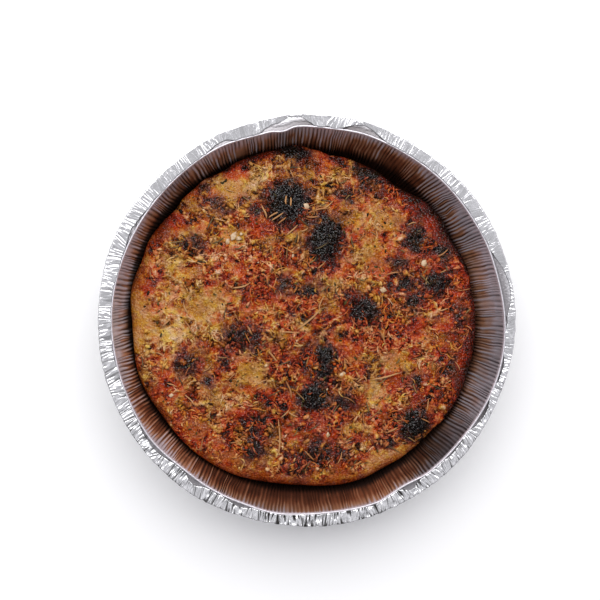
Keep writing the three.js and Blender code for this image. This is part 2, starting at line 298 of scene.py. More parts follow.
def rim_radius(angle):
    """The rim is a little oval and has a few flats."""
    flats = np.sin(5 * angle + 0.8) + np.sin(9 * angle + 2.1)
    return RIM_R + RIM_OVAL * np.cos(2 * angle) + RIM_DENT * flats / 2


def round_the_pan(angle, radius, height):
    """Points on rings round the Z axis, one row for each ring."""
    return np.stack([radius * np.cos(angle), radius * np.sin(angle), height + 0 * angle], axis=-1)


def pleated_ring(z):
    """Directions and offsets of a ring of the wall at a height. Each pleat has a sharp valley and a
    round ridge, stands deeper or shallower than its neighbours, and leans and wanders on its way up."""
    count = WALL_PLEATS * POINTS_ON_A_PLEAT
    phase = np.arange(count) / POINTS_ON_A_PLEAT
    angle = 2 * np.pi * phase / WALL_PLEATS
    own = round_the_pan(angle, 60.0, z * 0.5)
    spacing = 1.0 * noise(round_the_pan(angle, 60.0, 0.0), 3.5, 2)
    wander = spacing + 0.3 * noise(own, 4, 1) + 1.4 * noise(own, 19, 3) * z / PAN_DEPTH
    across = phase % 1
    ridge = np.sin(np.pi * across) ** 0.8 - 0.55
    number = np.floor(phase)
    at_number = np.stack([number * 5.0, 0 * number, np.full(count, z)], axis=-1)
    depth = PLEAT_DEPTH * np.clip(0.75 + 0.9 * noise(at_number, 8, 4), 0.1, 1.3)
    fade = np.clip((PAN_DEPTH - z) / 3, 0.3, 1) * np.clip(z / 5, 0.2, 1)
    dents = 0.16 * noise(own, 5, 5) + 0.22 * noise(own, 22, 6)
    turned = angle + wander * 2 * np.pi / WALL_PLEATS
    return turned, -fade * (depth * ridge + dents)


def off_centre():
    """The middle of the uneven rim's box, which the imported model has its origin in."""
    angle = np.linspace(0, 2 * np.pi, 1440)
    rim = round_the_pan(angle, rim_radius(angle), 0)
    return (rim.max(axis=0) + rim.min(axis=0)) / 2


def mesh_piece(name, points, faces, material, levels=None):
    """A mesh object from points in millimetres, smooth, with named numbers at its points."""
    mesh = bpy.data.meshes.new(name)
    all_faces = [face for group in faces for face in group.tolist()]
    mesh.from_pydata(((points - OFF_CENTRE) * MM).tolist(), [], all_faces)
    for label, values in (levels or {}).items():
        mesh.attributes.new(label, "FLOAT", "POINT").data.foreach_set("value", values.astype(np.float32))
    mesh.shade_smooth()
    mesh.materials.append(material)
    piece = bpy.data.objects.new(name, mesh)
    bpy.context.scene.collection.objects.link(piece)
    return piece


OFF_CENTRE = off_centre()


def neighbours(count):
    """The numbers of the points on a ring, and of the point that follows each."""
    station = np.arange(count)
    return station, (station + 1) % count


def bands(ring_count, station_count):
    """Four-sided faces between rings of points, each ring and the one after it."""
    ring, station = np.meshgrid(np.arange(ring_count - 1), np.arange(station_count), indexing="ij")
    following = (station + 1) % station_count
    a = ring * station_count
    b = a + station_count
    return np.stack([a + station, a + following, b + following, b + station], axis=-1).reshape(-1, 4)


def colour_stops(ramp, stops):
    """Gives a colour ramp its (place, sRGB hex) stops, in order."""
    elements = ramp.color_ramp.elements
    for element, (place, colour) in zip(elements, (stops[0], stops[-1])):
        element.position = place
        element.color = linear(colour)
    for place, colour in stops[1:-1]:
        elements.new(place).color = linear(colour)


def aluminium_foil(name, roughness, crumple, stained):
    """Rolled aluminium, as thin foil: a bright mirror, softened by a web of creases about a millimetre
    apart, with painted shade in grey where folds close over each other. Inside the pan baked oil tints
    it brown, only the scuffed crests of the pleats are dry, and painted shade darkens the pleat valleys,
    the wall next to the loaf and the bare flange; some places of the wall are painted darker besides."""
    material, tree, surface = start_material(name)
    place = add_node(tree, "ShaderNodeTexCoord").outputs["Object"]
    web = add_node(
        tree,
        "ShaderNodeTexNoise",
        {"Vector": place, "Scale": 1 / (WEB * MM), "Detail": 3.0, "Roughness": 0.6},
    )
    bump = add_node(
        tree,
        "ShaderNodeBump",
        {"Height": web.outputs[0], "Strength": 1.0, "Distance": crumple * MM},
    )
    shader = add_node(
        tree,
        "ShaderNodeBsdfPrincipled",
        {"Metallic": 0.78, "Roughness": roughness, "Normal": bump.outputs[0]},
    )
    # How far the colour is painted towards the fold colour: painted shade, and on the wall also its
    # darker places
    closed = add_node(tree, "ShaderNodeAttribute", attribute_name="shade_and_darkening")
    face = linear(FOIL_COLOUR)
    fold = linear(FOLD_SHADE_COLOUR)
    if stained:
        oil = add_node(tree, "ShaderNodeAttribute", attribute_name="oil").outputs["Fac"]
        film = add_node(tree, "ShaderNodeValToRGB", {0: oil})
        colour_stops(film, OIL_COLOURS)
        face = film.outputs[0]
        fold = linear(OILED_SHADE_COLOUR)
        for socket, bare, oiled in (("Roughness", 0.25, roughness), ("Metallic", 1.0, 0.3)):
            limits = {"Value": oil, "From Max": OIL_COVERS, "To Min": bare, "To Max": oiled}
            share = add_node(tree, "ShaderNodeMapRange", limits)
            tree.links.new(share.outputs[0], shader.inputs[socket])
    colour = add_node(
        tree,
        "ShaderNodeMix",
        {"Factor": closed.outputs["Fac"], 6: face, 7: fold},
        data_type="RGBA",
    )
    tree.links.new(colour.outputs[2], shader.inputs["Base Color"])
    tree.links.new(shader.outputs[0], surface)
    return material


def wall_oil_and_shade(z, count):
    """The oil film and the painted darkening on a ring of the wall's inside. Pleats are dry along their
    crests and painted in shade in their valleys, the wall low down next to the loaf is painted in shade,
    and some places are painted darker besides."""
    angle = 2 * np.pi * np.arange(count) / count
    place = round_the_pan(angle, 100.0, z)
    spots = noise(place, 7, 8) + 0.6 * noise(place, 2, 9)
    pleat = np.arange(count) / POINTS_ON_A_PLEAT
    own = np.stack([np.floor(pleat) * 5.0, 0 * pleat, np.full(count, 0.3 * z)], axis=-1)
    from_middle = np.abs(pleat % 1 - 0.5)
    creased = 0.5 + felt_at(angle, SCUFFED_AND_SHADED_PLEATS)
    scuffed = np.clip(creased * (0.5 + 1.2 * noise(own, 4, 10)), 0, 1)
    crest = scuffed * np.clip(1 - from_middle / 0.35, 0, 1)
    # Painted shade in the valleys of the pleats
    sharp = np.clip(np.minimum(creased, 0.9) * (0.8 + noise(own, 4, 12)), 0, 1)
    valley = sharp * np.clip(1.1 - (0.5 - from_middle) / 0.33, 0, 1)
    # Places of the wall painted darker, all the way up or towards the mouth
    darker_and_shaded = felt_at(angle, DARKER_WALL) + (0.6 + 0.03 * (z - 25)) * felt_at(angle, DARKER_MOUTH)
    # Painted shade low on the wall, where the loaf stands close to it
    darker_and_shaded += np.clip((LOAF_SHADE_TOP + felt_at(angle, CLOSE_TO_LOAF) - z) / 4, 0, 1)
    film = WALL_OIL + felt_at(angle, WALL_FILM_AND_LIGHT) + 0.12 * spots - DRY_CREST * crest
    # The film is thicker low on the wall, which also paints shade there, and thins out fast in the last
    # millimetres below the mouth, which also paints light there
    film += 0.016 * (38 - z) - 0.03 * np.maximum(z - 34, 0)
    return np.clip(film, THINNEST_OIL, 1), np.clip(0.9 * valley + darker_and_shaded, 0, 0.95)


def make_foil_shell():
    """One sheet with two faces: rings from the middle of the underside up the outside of the wall, over
    the flange and down the inside, each with the oil film and soot on it."""
    count = WALL_PLEATS * POINTS_ON_A_PLEAT
    angle = 2 * np.pi * np.arange(count) / count
    rings = []
    oil = []
    shade = []

    def ring(turned, radius, height, stain=0.0, shaded=0.0):
        rings.append(round_the_pan(turned, radius, height))
        oil.append(np.zeros(count) + stain)
        shade.append(np.zeros(count) + shaded)

    def flat_ring(radius, height, stain=0.0):
        ring(angle, radius, height, stain)

    def wall_ring(thickness, z, stain=0.0, shaded=0.0):
        """A pleated ring, on the inside of the wall or a thickness out from it."""
        turned, offset = pleated_ring(z)
        ring(turned, wall_radius(z, turned) + thickness + offset, z, stain, shaded)

    def brim_ring(radius_at, height, stain=0.0, shaded=0.0):
        """A ring whose radius depends on direction, with its points above those of the pleats."""
        turned, _ = pleated_ring(min(height, PAN_DEPTH))
        ring(turned, radius_at(turned), height, stain, shaded)

    # Underside, a little hollow in its middle, and outside of the wall, upwards
    flat_ring(FLOOR_R - HEEL - 6, 0.25)
    flat_ring(FLOOR_R - HEEL - 4, 0.0)
    flat_ring(FLOOR_R - HEEL, 0.0)
    flat_ring(FLOOR_R - 0.6, 0.35)
    flat_ring(FLOOR_R + SHEET, 1.2)
    for z in WALL_LEVELS:
        wall_ring(SHEET, z)
    brim_ring(lambda a: mouth_radius(a) + SHEET + 0.3, PAN_DEPTH - SHEET)
    brim_ring(lambda a: rim_radius(a) - 0.7, PAN_DEPTH - SHEET)
    brim_ring(lambda a: rim_radius(a) - 0.3, PAN_DEPTH - SHEET / 2)
    brim_ring(lambda a: rim_radius(a) - 0.7, PAN_DEPTH)
    # Flange and mouth, inwards, then the wall and floor, downwards
    # The bare flange, sunk under the lip's edge, is painted in shade all round, and more in places
    flange_shade = 0.6 + felt_at(angle, SHADED_FLANGE)
    brim_ring(lambda a: mouth_radius(a) + 3.0, PAN_DEPTH + 0.05, 0.1, flange_shade)
    brim_ring(lambda a: mouth_radius(a) + 1.0, PAN_DEPTH, 0.1, flange_shade)
    brim_ring(lambda a: mouth_radius(a) + 0.8, PAN_DEPTH + BEAD * 0.7, 0.15)
    brim_ring(lambda a: mouth_radius(a) + 0.5, PAN_DEPTH + BEAD, 0.15)
    brim_ring(lambda a: mouth_radius(a) + 0.2, PAN_DEPTH + BEAD, 0.15)
    brim_ring(mouth_radius, PAN_DEPTH + BEAD * 0.6, 0.15)
    brim_ring(lambda a: mouth_radius(a) - 0.1, PAN_DEPTH - 0.3, 0.3)
    for z in WALL_LEVELS[::-1]:
        wall_ring(0, z, *wall_oil_and_shade(z, count))
    flat_ring(FLOOR_R - 0.3, 1.6, 0.8)
    flat_ring(FLOOR_R - HEEL, SHEET, 0.8)

    points = np.concatenate(rings)
    poles = np.array([[0, 0, 0.25], [0, 0, SHEET + 0.25]])
    last = len(points) - count
    under, over = len(points), len(points) + 1
    station, following = neighbours(count)
    under_fan = np.stack([np.full(count, under), following, station], axis=-1)
    over_fan = np.stack([np.full(count, over), last + station, last + following], axis=-1)
    oil.append([0.0, 0.8])
    shade.append(np.zeros(2))
    return mesh_piece(
        "foil_shell",
        np.concatenate([points, poles]),
        [bands(len(rings), count), under_fan, over_fan],
        aluminium_foil("stained_aluminium_foil", 0.45, 0.3, stained=True),
        {"oil": np.concatenate(oil), "shade_and_darkening": np.concatenate(shade)},
    )


foil_shell = make_foil_shell()
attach(foil_shell, "root")
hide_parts("foil_pan")


# Crimped lip
# The edge of the same sheet, folded back flat over the flange and crimped by rollers into radial
# creases. It has sprung open in places, where the smooth flange shows.

LIP_MARGIN = 0.7
LIP_RISE = 0.75
LIP_STATIONS = 4200
CREASE_WIDTH = 0.85
CREASE_HEIGHT = 0.6
# How much painted shade the lip's folds have all round; more where the rollers pressed harder
FOLD_SHADE = 0.12
# Direction, half width, and how much harder the rollers pressed there, which also deepens the painted
# shade in the folds
HARD_CRIMPED = [(-82, 100, 0.95), (-162, 52, 0.4)]
# Direction, half width, and how far the lip has sprung open there
LIP_GAPS = [
    (97, 9, 0.75),
    (92.5, 5.5, 0.6),
    (74, 8, 0.75),
    (10, 13, 1.0),
    (-14, 6, 0.4),
    (-28, 7, 0.6),
    (-42, 5, 0.25),
    (-58, 4, 0.55),
    (-111, 5, 0.4),
    (-126, 5, 0.45),
    (-142, 11, 0.3),
    (152, 8, 0.25),
    (116, 5, 0.35),
]


def lip_radius(angle):
    """The lip's inner edge, between the mouth and the rim."""
    closed = mouth_radius(angle) + LIP_MARGIN
    opened = rim_radius(angle) - 1.3
    bare = np.clip(felt_at(angle, LIP_GAPS), 0, 1)
    place = round_the_pan(angle, RIM_R, 0)
    ragged = 0.35 * noise(place, 3.5, 11) + 0.2 * noise(place, 1.5, 12)
    return closed + (opened - closed) * bare + ragged


def creased_ring(share):
    """Heights and painted fold shade of a ring of the lip, at its share of the way out to the rim. The
    rollers crimped it into creases that lean and run together, with smooth plates of foil between them."""
    angle = 2 * np.pi * np.arange(LIP_STATIONS) / LIP_STATIONS
    place = round_the_pan(angle, RIM_R, 0)
    lean = 3.0 * noise(place, 6, 13) + 1.6 * noise(place, 2.2, 17)
    along = angle * RIM_R + lean * (share - 0.5)
    crease = np.stack([along, 0 * along, np.full(LIP_STATIONS, 0.7 * share)], axis=-1)
    pressed = 0.25 + felt_at(angle, HARD_CRIMPED)
    crimped = pressed * np.clip(0.75 + 0.9 * noise(place, 7, 15), 0.25, 1.2)
    fold = 1 - 2.6 * np.abs(noise(crease, CREASE_WIDTH, 14))
    fine = noise(crease, 0.45 * CREASE_WIDTH, 19)
    plates = 0.2 * noise(round_the_pan(angle, RIM_R, share * 3), 4, 18)
    plates += 0.9 * felt_at(angle, HARD_CRIMPED) * noise(round_the_pan(angle, RIM_R, share * 6), 2.2, 20)
    # Painted shade where the folds run deepest
    closed = np.clip(-0.15 - fold, 0, 0.6) / 0.6 * (FOLD_SHADE + felt_at(angle, HARD_CRIMPED))
    return CREASE_HEIGHT * (crimped * (0.6 * fold + 0.3 * fine) + plates), closed


def make_crimped_lip():
    """A flat folded hem: creased rings out over the flange, then round the rim and back under them."""
    count = LIP_STATIONS
    angle = 2 * np.pi * np.arange(count) / count
    rings = []
    fold_shades = []

    def ring(share, inset, height, creased):
        inner = lip_radius(angle)
        outer = rim_radius(angle) + 0.25 * noise(round_the_pan(angle, RIM_R, 0), 2.2, 16)
        radius = inner + (outer - inner) * share - inset
        lowest = PAN_DEPTH + 0.25 if creased else -1
        crease, closed = creased_ring(share)
        z = np.maximum(PAN_DEPTH + height + creased * crease, lowest)
        rings.append(round_the_pan(angle, radius, z))
        fold_shades.append(closed)

    for share in np.linspace(0, 0.97, 12):
        ring(share, 0, LIP_RISE * (0.75 + 0.25 * share), 1.0)
    ring(1.0, 0.0, 0.3, 0.35)
    ring(1.0, 0.05, -0.45, 0.0)
    ring(1.0, 0.6, -0.45, 0.0)
    ring(1.0, 0.45, 0.06, 0.0)
    ring(0.0, -0.05, 0.1, 0.0)
    points = np.concatenate(rings)
    walls = bands(len(rings), count)
    station, following = neighbours(count)
    last = len(points) - count
    closing = np.stack([last + station, last + following, following, station], axis=-1)
    return mesh_piece(
        "crimped_lip",
        points,
        [walls[:, ::-1], closing[:, ::-1]],
        aluminium_foil("bright_aluminium_foil", 0.14, 0.06, stained=False),
        {"shade_and_darkening": np.concatenate(fold_shades)},
    )


crimped_lip = make_crimped_lip()
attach(crimped_lip, "root")
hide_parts("foil_pan")


# Loaf
# A flat round loaf of oiled wheat dough. Its crown is crusted with cheese and crumbs, browned
# unevenly, and its gas bubbles stood up to the heat and scorched. Its shoulder is bare smooth dough.

BREAD_X = -1.4
EDGE_R = 95.5
WIDEST_Z = 25.5
SHOULDER_START = 0.85
SHOULDER_RISE = 5.4
CROWN_RISE = 3.8
LOAF_FOOT = 1.2
SWELL = 0.45
LOAF_CLEARANCE = 0.95
CROWN_RINGS = 150
SHOULDER_RINGS = 14
# Height, and how far the side is drawn in there
SIDE = [(23, 0.4), (20.5, 1), (17, 1.3), (12.5, 1.6), (8, 1.8), (4.2, 2), (2.2, 3.2), (LOAF_FOOT, 5)]
# Direction, half width, and how far the edge bulges out there
EDGE_BULGES = [
    (93, 6, 1.7),
    (81, 5, -0.9),
    (64, 28, -3.4),
    (55, 10, -1.7),
    (29, 7, -1.9),
    (17, 7, 1.2),
    (119, 6, -1.2),
    (131, 6, -0.8),
    (139, 6, -1.6),
    (152, 8, 1.3),
    (170, 11, 1.5),
    (-2, 20, 0.9),
    (-20, 22, 1.8),
    (-36, 20, 1.0),
    (-42, 7, -0.8),
    (-62, 8, -0.9),
    (-96, 20, -2.9),
    (-160, 14, 1.0),
]
# Bubbles in the crust: x, y, half length in x, half length in y, height
BUBBLES = [
    (-11.6, 66.4, 13.5, 13.5, 3.2),
    (9.8, 45.8, 11.5, 16, 3.0),
    (-7.5, 91.5, 8.5, 5.5, 1.5),
    (33.8, 81.8, 8.5, 6.5, 2.0),
    (-78.9, 50.6, 8, 8.5, 2.2),
    (-63.3, 41.9, 7.5, 6.5, 1.8),
    (71.9, 21.0, 8, 8.5, 2.4),
    (30.8, 7.3, 11.5, 10, 2.6),
    (58.9, 45.8, 5.5, 8.5, 1.6),
    (75.7, 36.5, 5, 6.5, 1.2),
    (86.0, 0.4, 4.5, 8, 0.9),
    (-67.0, -21.5, 8.5, 8.5, 2.2),
    (-37.4, -6.8, 13, 7.5, 2.2),
    (10.4, -18.1, 5.8, 5.5, 1.8),
    (9.3, -28.0, 5, 5.5, 1.3),
    (2.7, -41.3, 8.5, 8.5, 2.4),
    (-29.9, -70.5, 8, 7.5, 2.0),
    (60.2, -58.6, 9.5, 10, 2.8),
    (-5.6, -80.3, 6, 6.5, 1.6),
    (6.6, -72.6, 8, 5, 1.4),
    (20.5, -74.5, 5, 5, 1.2),
    (44.5, -68.0, 5, 5, 1.1),
    (1.0, 16.2, 5.5, 5, 1.3),
    (51.2, 32.6, 5, 5, 1.1),
    (21.6, -43.7, 5.5, 6.5, 1.2),
]
# Scorched places: x, y, half length in x, half length in y, how black
SCORCHED = [
    (-11.6, 66.4, 13.2, 13.2, 1.0),
    (9.8, 44.8, 10.6, 14.5, 0.95),
    (-7.5, 92.9, 8.5, 4.8, 0.95),
    (33.8, 81.8, 8.2, 5.5, 0.85),
    (-63.3, 41.9, 6.6, 5.5, 0.6),
    (71.9, 21.0, 7.7, 8.2, 0.8),
    (30.8, 5.5, 8.0, 8.0, 0.85),
    (22.0, 12.0, 6.0, 5.0, 0.4),
    (58.9, 45.8, 4.9, 8.2, 0.6),
    (75.7, 36.5, 3.8, 5.5, 0.6),
    (86.0, 0.4, 3.8, 7.7, 0.65),
    (-67.0, -21.5, 7.8, 7.8, 0.68),
    (-37.4, -6.8, 12.0, 7.0, 0.5),
    (10.4, -18.1, 5.5, 5.5, 0.95),
    (9.3, -28.0, 3.8, 4.4, 0.8),
    (2.7, -41.3, 8.2, 8.2, 0.95),
    (-29.9, -70.5, 7.7, 7.1, 0.65),
    (60.2, -58.6, 9.3, 9.9, 0.95),
    (-5.6, -80.3, 6.0, 6.0, 0.5),
    (6.6, -72.6, 8.2, 4.4, 0.55),
    (20.5, -74.5, 4.4, 4.4, 0.6),
    (44.5, -68.0, 4.4, 4.4, 0.6),
    (1.0, 16.2, 4.9, 3.8, 0.75),
    (-12.2, 19.5, 4.9, 4.9, 0.4),
    (51.2, 32.6, 4.4, 4.9, 0.5),
    (55.2, 19.9, 4.9, 3.8, 0.5),
    (58.0, 10.5, 4.4, 4.4, 0.45),
    (61.1, -33.4, 3.3, 2.7, 0.6),
    (21.6, -43.7, 4.9, 6.0, 0.5),
    (-45.2, -23.2, 2.2, 2.2, 0.9),
    (-55.1, -33.1, 2.2, 2.2, 0.8),
    (-26.0, -55.0, 2.7, 2.7, 0.7),
    (80.1, -28.5, 4.4, 4.4, 0.5),
    (-48.6, 64.2, 6.6, 4.9, 0.4),
    (-35.6, 64.7, 2.7, 2.7, 0.6),
    (-28.0, 61.0, 3.3, 3.3, 0.55),
    (-56.1, 73.9, 4.4, 2.2, 0.6),
    (20.7, 69.8, 5.5, 3.3, 0.5),
]
# Pale places, where the cheese lay thick: x, y, half length in x, half length in y, how pale
PALE = [
    (-38, 73, 22, 7, 1.0),
    (-42, 45, 10, 8, 0.9),
    (-73, 31, 12, 9, 0.8),
    (-75, 14, 12, 12, 0.9),
    (-58, 8, 15, 10, 1.0),
    (-72, -6, 13, 8, 0.9),
    (-27, 7, 16, 6, 0.6),
    (-11, -7, 8, 9, 0.5),
    (-32, -27, 9, 10, 1.0),
    (-38, -43, 14, 8, 0.9),
    (-11, -58, 10, 8, 0.8),
    (5, 82, 15, 5, 0.6),
    (28, 58, 10, 10, 0.9),
    (42, 60, 15, 11, 1.0),
    (37, 34, 11, 12, 0.9),
    (17, 14, 7, 12, 0.8),
    (62, 33, 7, 5, 0.7),
    (47, -22, 10, 8, 1.0),
    (38, -42, 9, 10, 0.9),
    (30, -61, 12, 7, 0.6),
    (68, -12, 10, 9, 0.4),
]
# Places baked red brown: x, y, half length in x, half length in y, how brown
BROWNED = [
    (-50, 65, 10, 6, 0.7),
    (-22, 51, 12, 6, 0.6),
    (-17, 38, 14, 8, 0.6),
    (-20, 29, 12, 7, 0.7),
    (-6, 19, 13, 8, 0.8),
    (-2, -16, 11, 12, 0.7),
    (20, 70, 14, 8, 0.6),
    (66, 66, 12, 12, 0.8),
    (62, 43, 8, 11, 0.8),
    (55, 14, 16, 8, 0.9),
    (26, 11, 13, 10, 0.8),
    (78, 5, 8, 30, 0.6),
    (77, -22, 7, 14, 0.7),
    (-45, -12, 13, 8, 0.8),
    (-15, -31, 11, 8, 0.6),
    (22, -45, 11, 9, 0.8),
    (-62, -55, 20, 15, 0.5),
    (-29, -72, 14, 10, 0.8),
    (0, -75, 20, 7, 0.9),
    (46, -64, 9, 8, 0.6),
    (-84, -36, 8, 16, 0.5),
    (-88, 24, 5, 14, 0.7),
    (6, 32, 12, 7, 0.8),
    (14, -26, 10, 12, 0.7),
]
# Broad differences across the loaf: x, y, half length in x, half length in y, darker, redder
TONES = [
    (-64, 5, 32, 45, -0.05, -0.2),
    (-22, -46, 26, 24, 0.2, 0.5),
    (-26, 18, 15, 12, 0.14, 2.0),
    (16, 31, 11, 10, -0.16, 2.2),
    (-10, 54, 12, 7, 0.12, 2.2),
    (58, 62, 18, 22, 0.14, 0.8),
    (84, 14, 12, 40, 0.1, 0.9),
    (44, -10, 28, 15, 0.05, 0.6),
    (6, -62, 28, 18, 0.06, 0.6),
    (-52, -50, 13, 14, 0.0, -0.5),
    (-66, 48, 15, 12, -0.05, -0.6),
    (-47, 64, 18, 10, -0.24, 0.0),
    (-24, 77, 14, 9, -0.36, 0.0),
    (44, 71, 12, 8, 0.3, 0.0),
    (22, 57, 10, 8, 0.24, -0.5),
    (-9, -70, 8, 7, 0.0, -0.9),
    (0, -10, 14, 10, 0.0, -0.4),
    (64, -40, 20, 16, 0.14, 0.1),
    (-76, -14, 17, 20, -0.16, 0.1),
    (22, 76, 14, 8, -0.14, 0.1),
    (71, 41, 12, 17, 0.2, 0.7),
    (0, 85, 14, 9, 0.2, 0.1),
    (-68, 58, 10, 9, 0.14, 0.0),
    (-55, 40, 9, 7, 0.1, 0.0),
    (-38, 49, 9, 6, 0.1, 0.0),
    (-37, 3, 9, 6, -0.04, -0.6),
    (-18, 12, 14, 7, 0.1, 0.5),
    (35, 40, 8, 8, 0.12, 0.0),
    (42, -4, 16, 10, 0.2, 0.2),
    (17, -7, 7, 6, 0.0, -0.8),
    (0, -26, 13, 10, 0.32, 0.8),
    (-14, -58, 22, 9, 0.2, 0.3),
    (-33, -59, 14, 11, 0.26, 0.3),
    (30, -67, 10, 10, 0.18, 0.0),
    (12, -79, 15, 6, 0.14, 0.1),
    (-44, 30, 11, 12, -0.16, 0.6),
    (-16, 34, 8, 8, 0.18, 1.2),
    (26, 4, 8, 14, -0.04, 1.0),
    (-7, 26, 8, 7, -0.06, -0.5),
    (-72, -44, 14, 13, -0.2, -0.3),
    (-69, -18, 11, 8, -0.14, 0.0),
    (-23, -34, 12, 8, -0.2, -0.8),
    (-24, -73, 13, 8, -0.26, -0.9),
    (-9, -77, 9, 6, -0.16, -0.2),
    (74, 2, 11, 16, -0.12, 0.2),
    (3, 51, 7, 8, -0.3, 0.2),
    (48, 46, 10, 9, -0.2, -0.2),
    (30, 36, 8, 9, 0.0, -0.8),
    (-64, 48, 9, 8, 0.0, -0.4),
    (12, 18, 7, 8, 0.0, -0.9),
    (-29, 87, 14, 5, 0.18, 0.0),
    (-84, 39, 7, 8, 0.16, 0.0),
    (-14, -45, 8, 8, 0.0, 0.7),
    (-2, 10, 10, 6, 0.12, 0.9),
    (60, -10, 14, 12, 0.0, 0.4),
    (70, -38, 10, 14, 0.0, 0.6),
    (-28, -16, 7, 8, 0.2, -0.2),
    (-48, -8, 13, 8, -0.16, -0.8),
    (-25, 43, 8, 7, -0.06, -1.0),
    (-20, 20, 9, 9, 0.1, 0.5),
    (30, -12, 12, 9, 0.0, 0.8),
    (-36, -52, 16, 9, 0.08, 0.7),
    (-76, -36, 10, 12, 0.0, 0.7),
    (-36, -14, 7, 5, 0.0, 0.8),
    (-40, 38, 16, 8, 0.0, 0.6),
    (13, 7, 8, 6, 0.0, -0.8),
    (46, -54, 8, 8, 0.16, 0.0),
    (0, -83, 16, 5, 0.12, 0.0),
    (77, -32, 6, 8, 0.14, 0.0),
    (44, 33, 12, 12, 0.0, 0.4),
    (16, -50, 18, 9, 0.0, 0.5),
    (4, 38, 9, 7, 0.14, 0.2),
    (66, -10, 9, 8, 0.0, -0.8),
    (48, 26, 9, 7, 0.0, 0.9),
    (29, 26, 6, 6, -0.1, -0.6),
    (-53, 52, 16, 6, 0.0, 0.8),
    (-60, -50, 9, 8, 0.0, 0.9),
    (-8, -25, 14, 7, 0.0, 0.8),
    (62, 38, 8, 7, -0.1, 0.2),
    (-14, 6, 9, 7, 0.16, 0.6),
    (4, 10, 8, 6, 0.14, 0.3),
    (44, 4, 10, 7, 0.3, -0.2),
    (-5, -51, 10, 6, 0.18, 0.0),
    (13, -39, 6, 5, 0.16, 0.0),
    (60, -36, 10, 10, -0.14, 0.6),
    (33, -70, 8, 6, -0.12, 0.0),
    (25, -52, 7, 6, -0.14, 0.0),
    (-20, -35, 9, 6, -0.08, -0.6),
    (36, -28, 7, 6, 0.0, -0.9),
    (-53, -45, 10, 8, -0.06, -0.9),
    (-5, -61, 9, 5, 0.0, -0.9),
    (-66, 9, 16, 6, 0.16, 0.0),
    (-36, 5, 9, 8, 0.1, 1.0),
    (-38, 62, 9, 7, -0.12, 0.0),
    (-55, -33, 7, 12, -0.1, 0.0),
    (-8, -47, 12, 9, -0.08, 0.0),
    (82, 8, 8, 14, 0.0, 1.2),
    (-16, -9, 7, 7, 0.0, -1.0),
    (-53, -26, 8, 6, 0.0, -0.9),
    (32, -70, 12, 7, -0.06, -0.6),
    (-4, -7, 8, 6, 0.0, 0.9),
    (-3, -16, 7, 6, 0.0, -0.8),
    (60, 16, 9, 8, -0.1, 0.0),
    (77, -22, 8, 12, 0.06, 0.9),
    (66, 60, 9, 12, 0.0, 1.0),
    (45, 65, 7, 6, 0.1, 0.0),
    (50, 68, 12, 8, 0.0, 0.9),
    (18, 37, 8, 8, -0.06, 0.8),
    (-31, 8, 8, 7, 0.12, 0.9),
    (28, -65, 9, 7, 0.0, 0.9),
    (76, 41, 7, 8, 0.06, 0.8),
    (-25, -47, 10, 7, 0.0, -0.9),
    (-28, -78, 10, 5, 0.0, -0.9),
    (-66, -47, 9, 7, 0.0, -0.6),
    (29, -53, 8, 7, 0.0, -0.7),
    (77, 17, 6, 8, 0.0, -0.7),
    (26, -22, 8, 6, 0.0, -0.6),
    (-55, 12, 8, 6, 0.1, 0.0),
    (63, 33, 6, 5, 0.14, 0.0),
    (82, 34, 6, 9, 0.08, 0.0),
    (52, -45, 8, 6, 0.1, 0.0),
    (-20, 78, 10, 5, -0.08, 0.0),
    # The last two rows paint shade along the loaf's north-west edge
    (-57, 72, 8, 5, 0.14, 0.0),
    (-74, 58, 6, 8, 0.12, 0.0),
]
# Bare smooth dough along the shoulder: direction, half width, reach, browning, rosiness
BARE_SHOULDER = [
    (-96, 42, 8.0, 0.40, 0.6),
    (-60, 16, 12.5, 0.29, 0.4),
    (-150, 14, 4.0, 0.45, 0.4),
    (178, 20, 11.0, 0.22, 0.25),
    (36, 34, 10.0, 0.66, 1.0),
    (-12, 28, 10.0, 0.64, 1.0),
    (108, 22, 4.0, 0.56, 0.9),
]
# Smooth skin with few crumbs: x, y, half length in x, half length in y, browning, rosiness
SMOOTH = [
    (-80.5, 50.5, 7.5, 8.5, 0.74, 0.5),
    (-95, 23, 4.5, 11, 0.72, 0.4),
    (-89, 3, 4.5, 13, 0.38, 0.3),
    (-60, 7, 8, 5, 0.55, -0.1),
    (-34, -27, 7, 6, 0.38, -0.3),
    (-42, 71, 12, 5, 0.28, -0.1),
    (46, 55, 8, 6, 0.26, -0.3),
    (38, 33, 6, 7, 0.42, 0.2),
    (48, -22, 6, 5, 0.32, -0.3),
    (-62, 27, 6, 5, 0.34, -0.1),
    (-42, -76, 14, 4, 0.48, 0.35),
    (-62, -60, 7, 9, 0.47, 0.5),
]
SMOOTH_SHARE = 0.5
# Small dark spots, and how far from the loaf's middle they lie
DARK_SPOTS = 80
SPOTS_WITHIN = 78
CRUST_BROWNING = 0.5
SIDE_BROWNING = 0.56
CRUST_ROSINESS = 0.62
STRAND_WIDTH = 2.4
# Curds of grated cheese: their width, how far they stand out, the middle of the pattern's range, and
# how unevenly they brown where the cheese is loose and where it melted
CURD = 1.3
CURD_RELIEF = 1.5
CURD_MIDDLE = 0.33
GRAIN_CONTRAST = 1.0
MELTED_CONTRAST = 0.55
# Painted shade in the gaps between curds: where in the pattern it begins and is deepest, and how dark it
# is
GAP_EDGE = (0.38, 0.7)
GAP_SHADE = 0.3
# Butterfat lies in drops some 4 mm wide, and oil glints in drops under 1 mm
BUTTER_DROP = 4.0
BUTTER_COLOURS = [(0.38, "#FFFFAC"), (0.58, "#FFFFFF")]
WET_DROP = 0.8
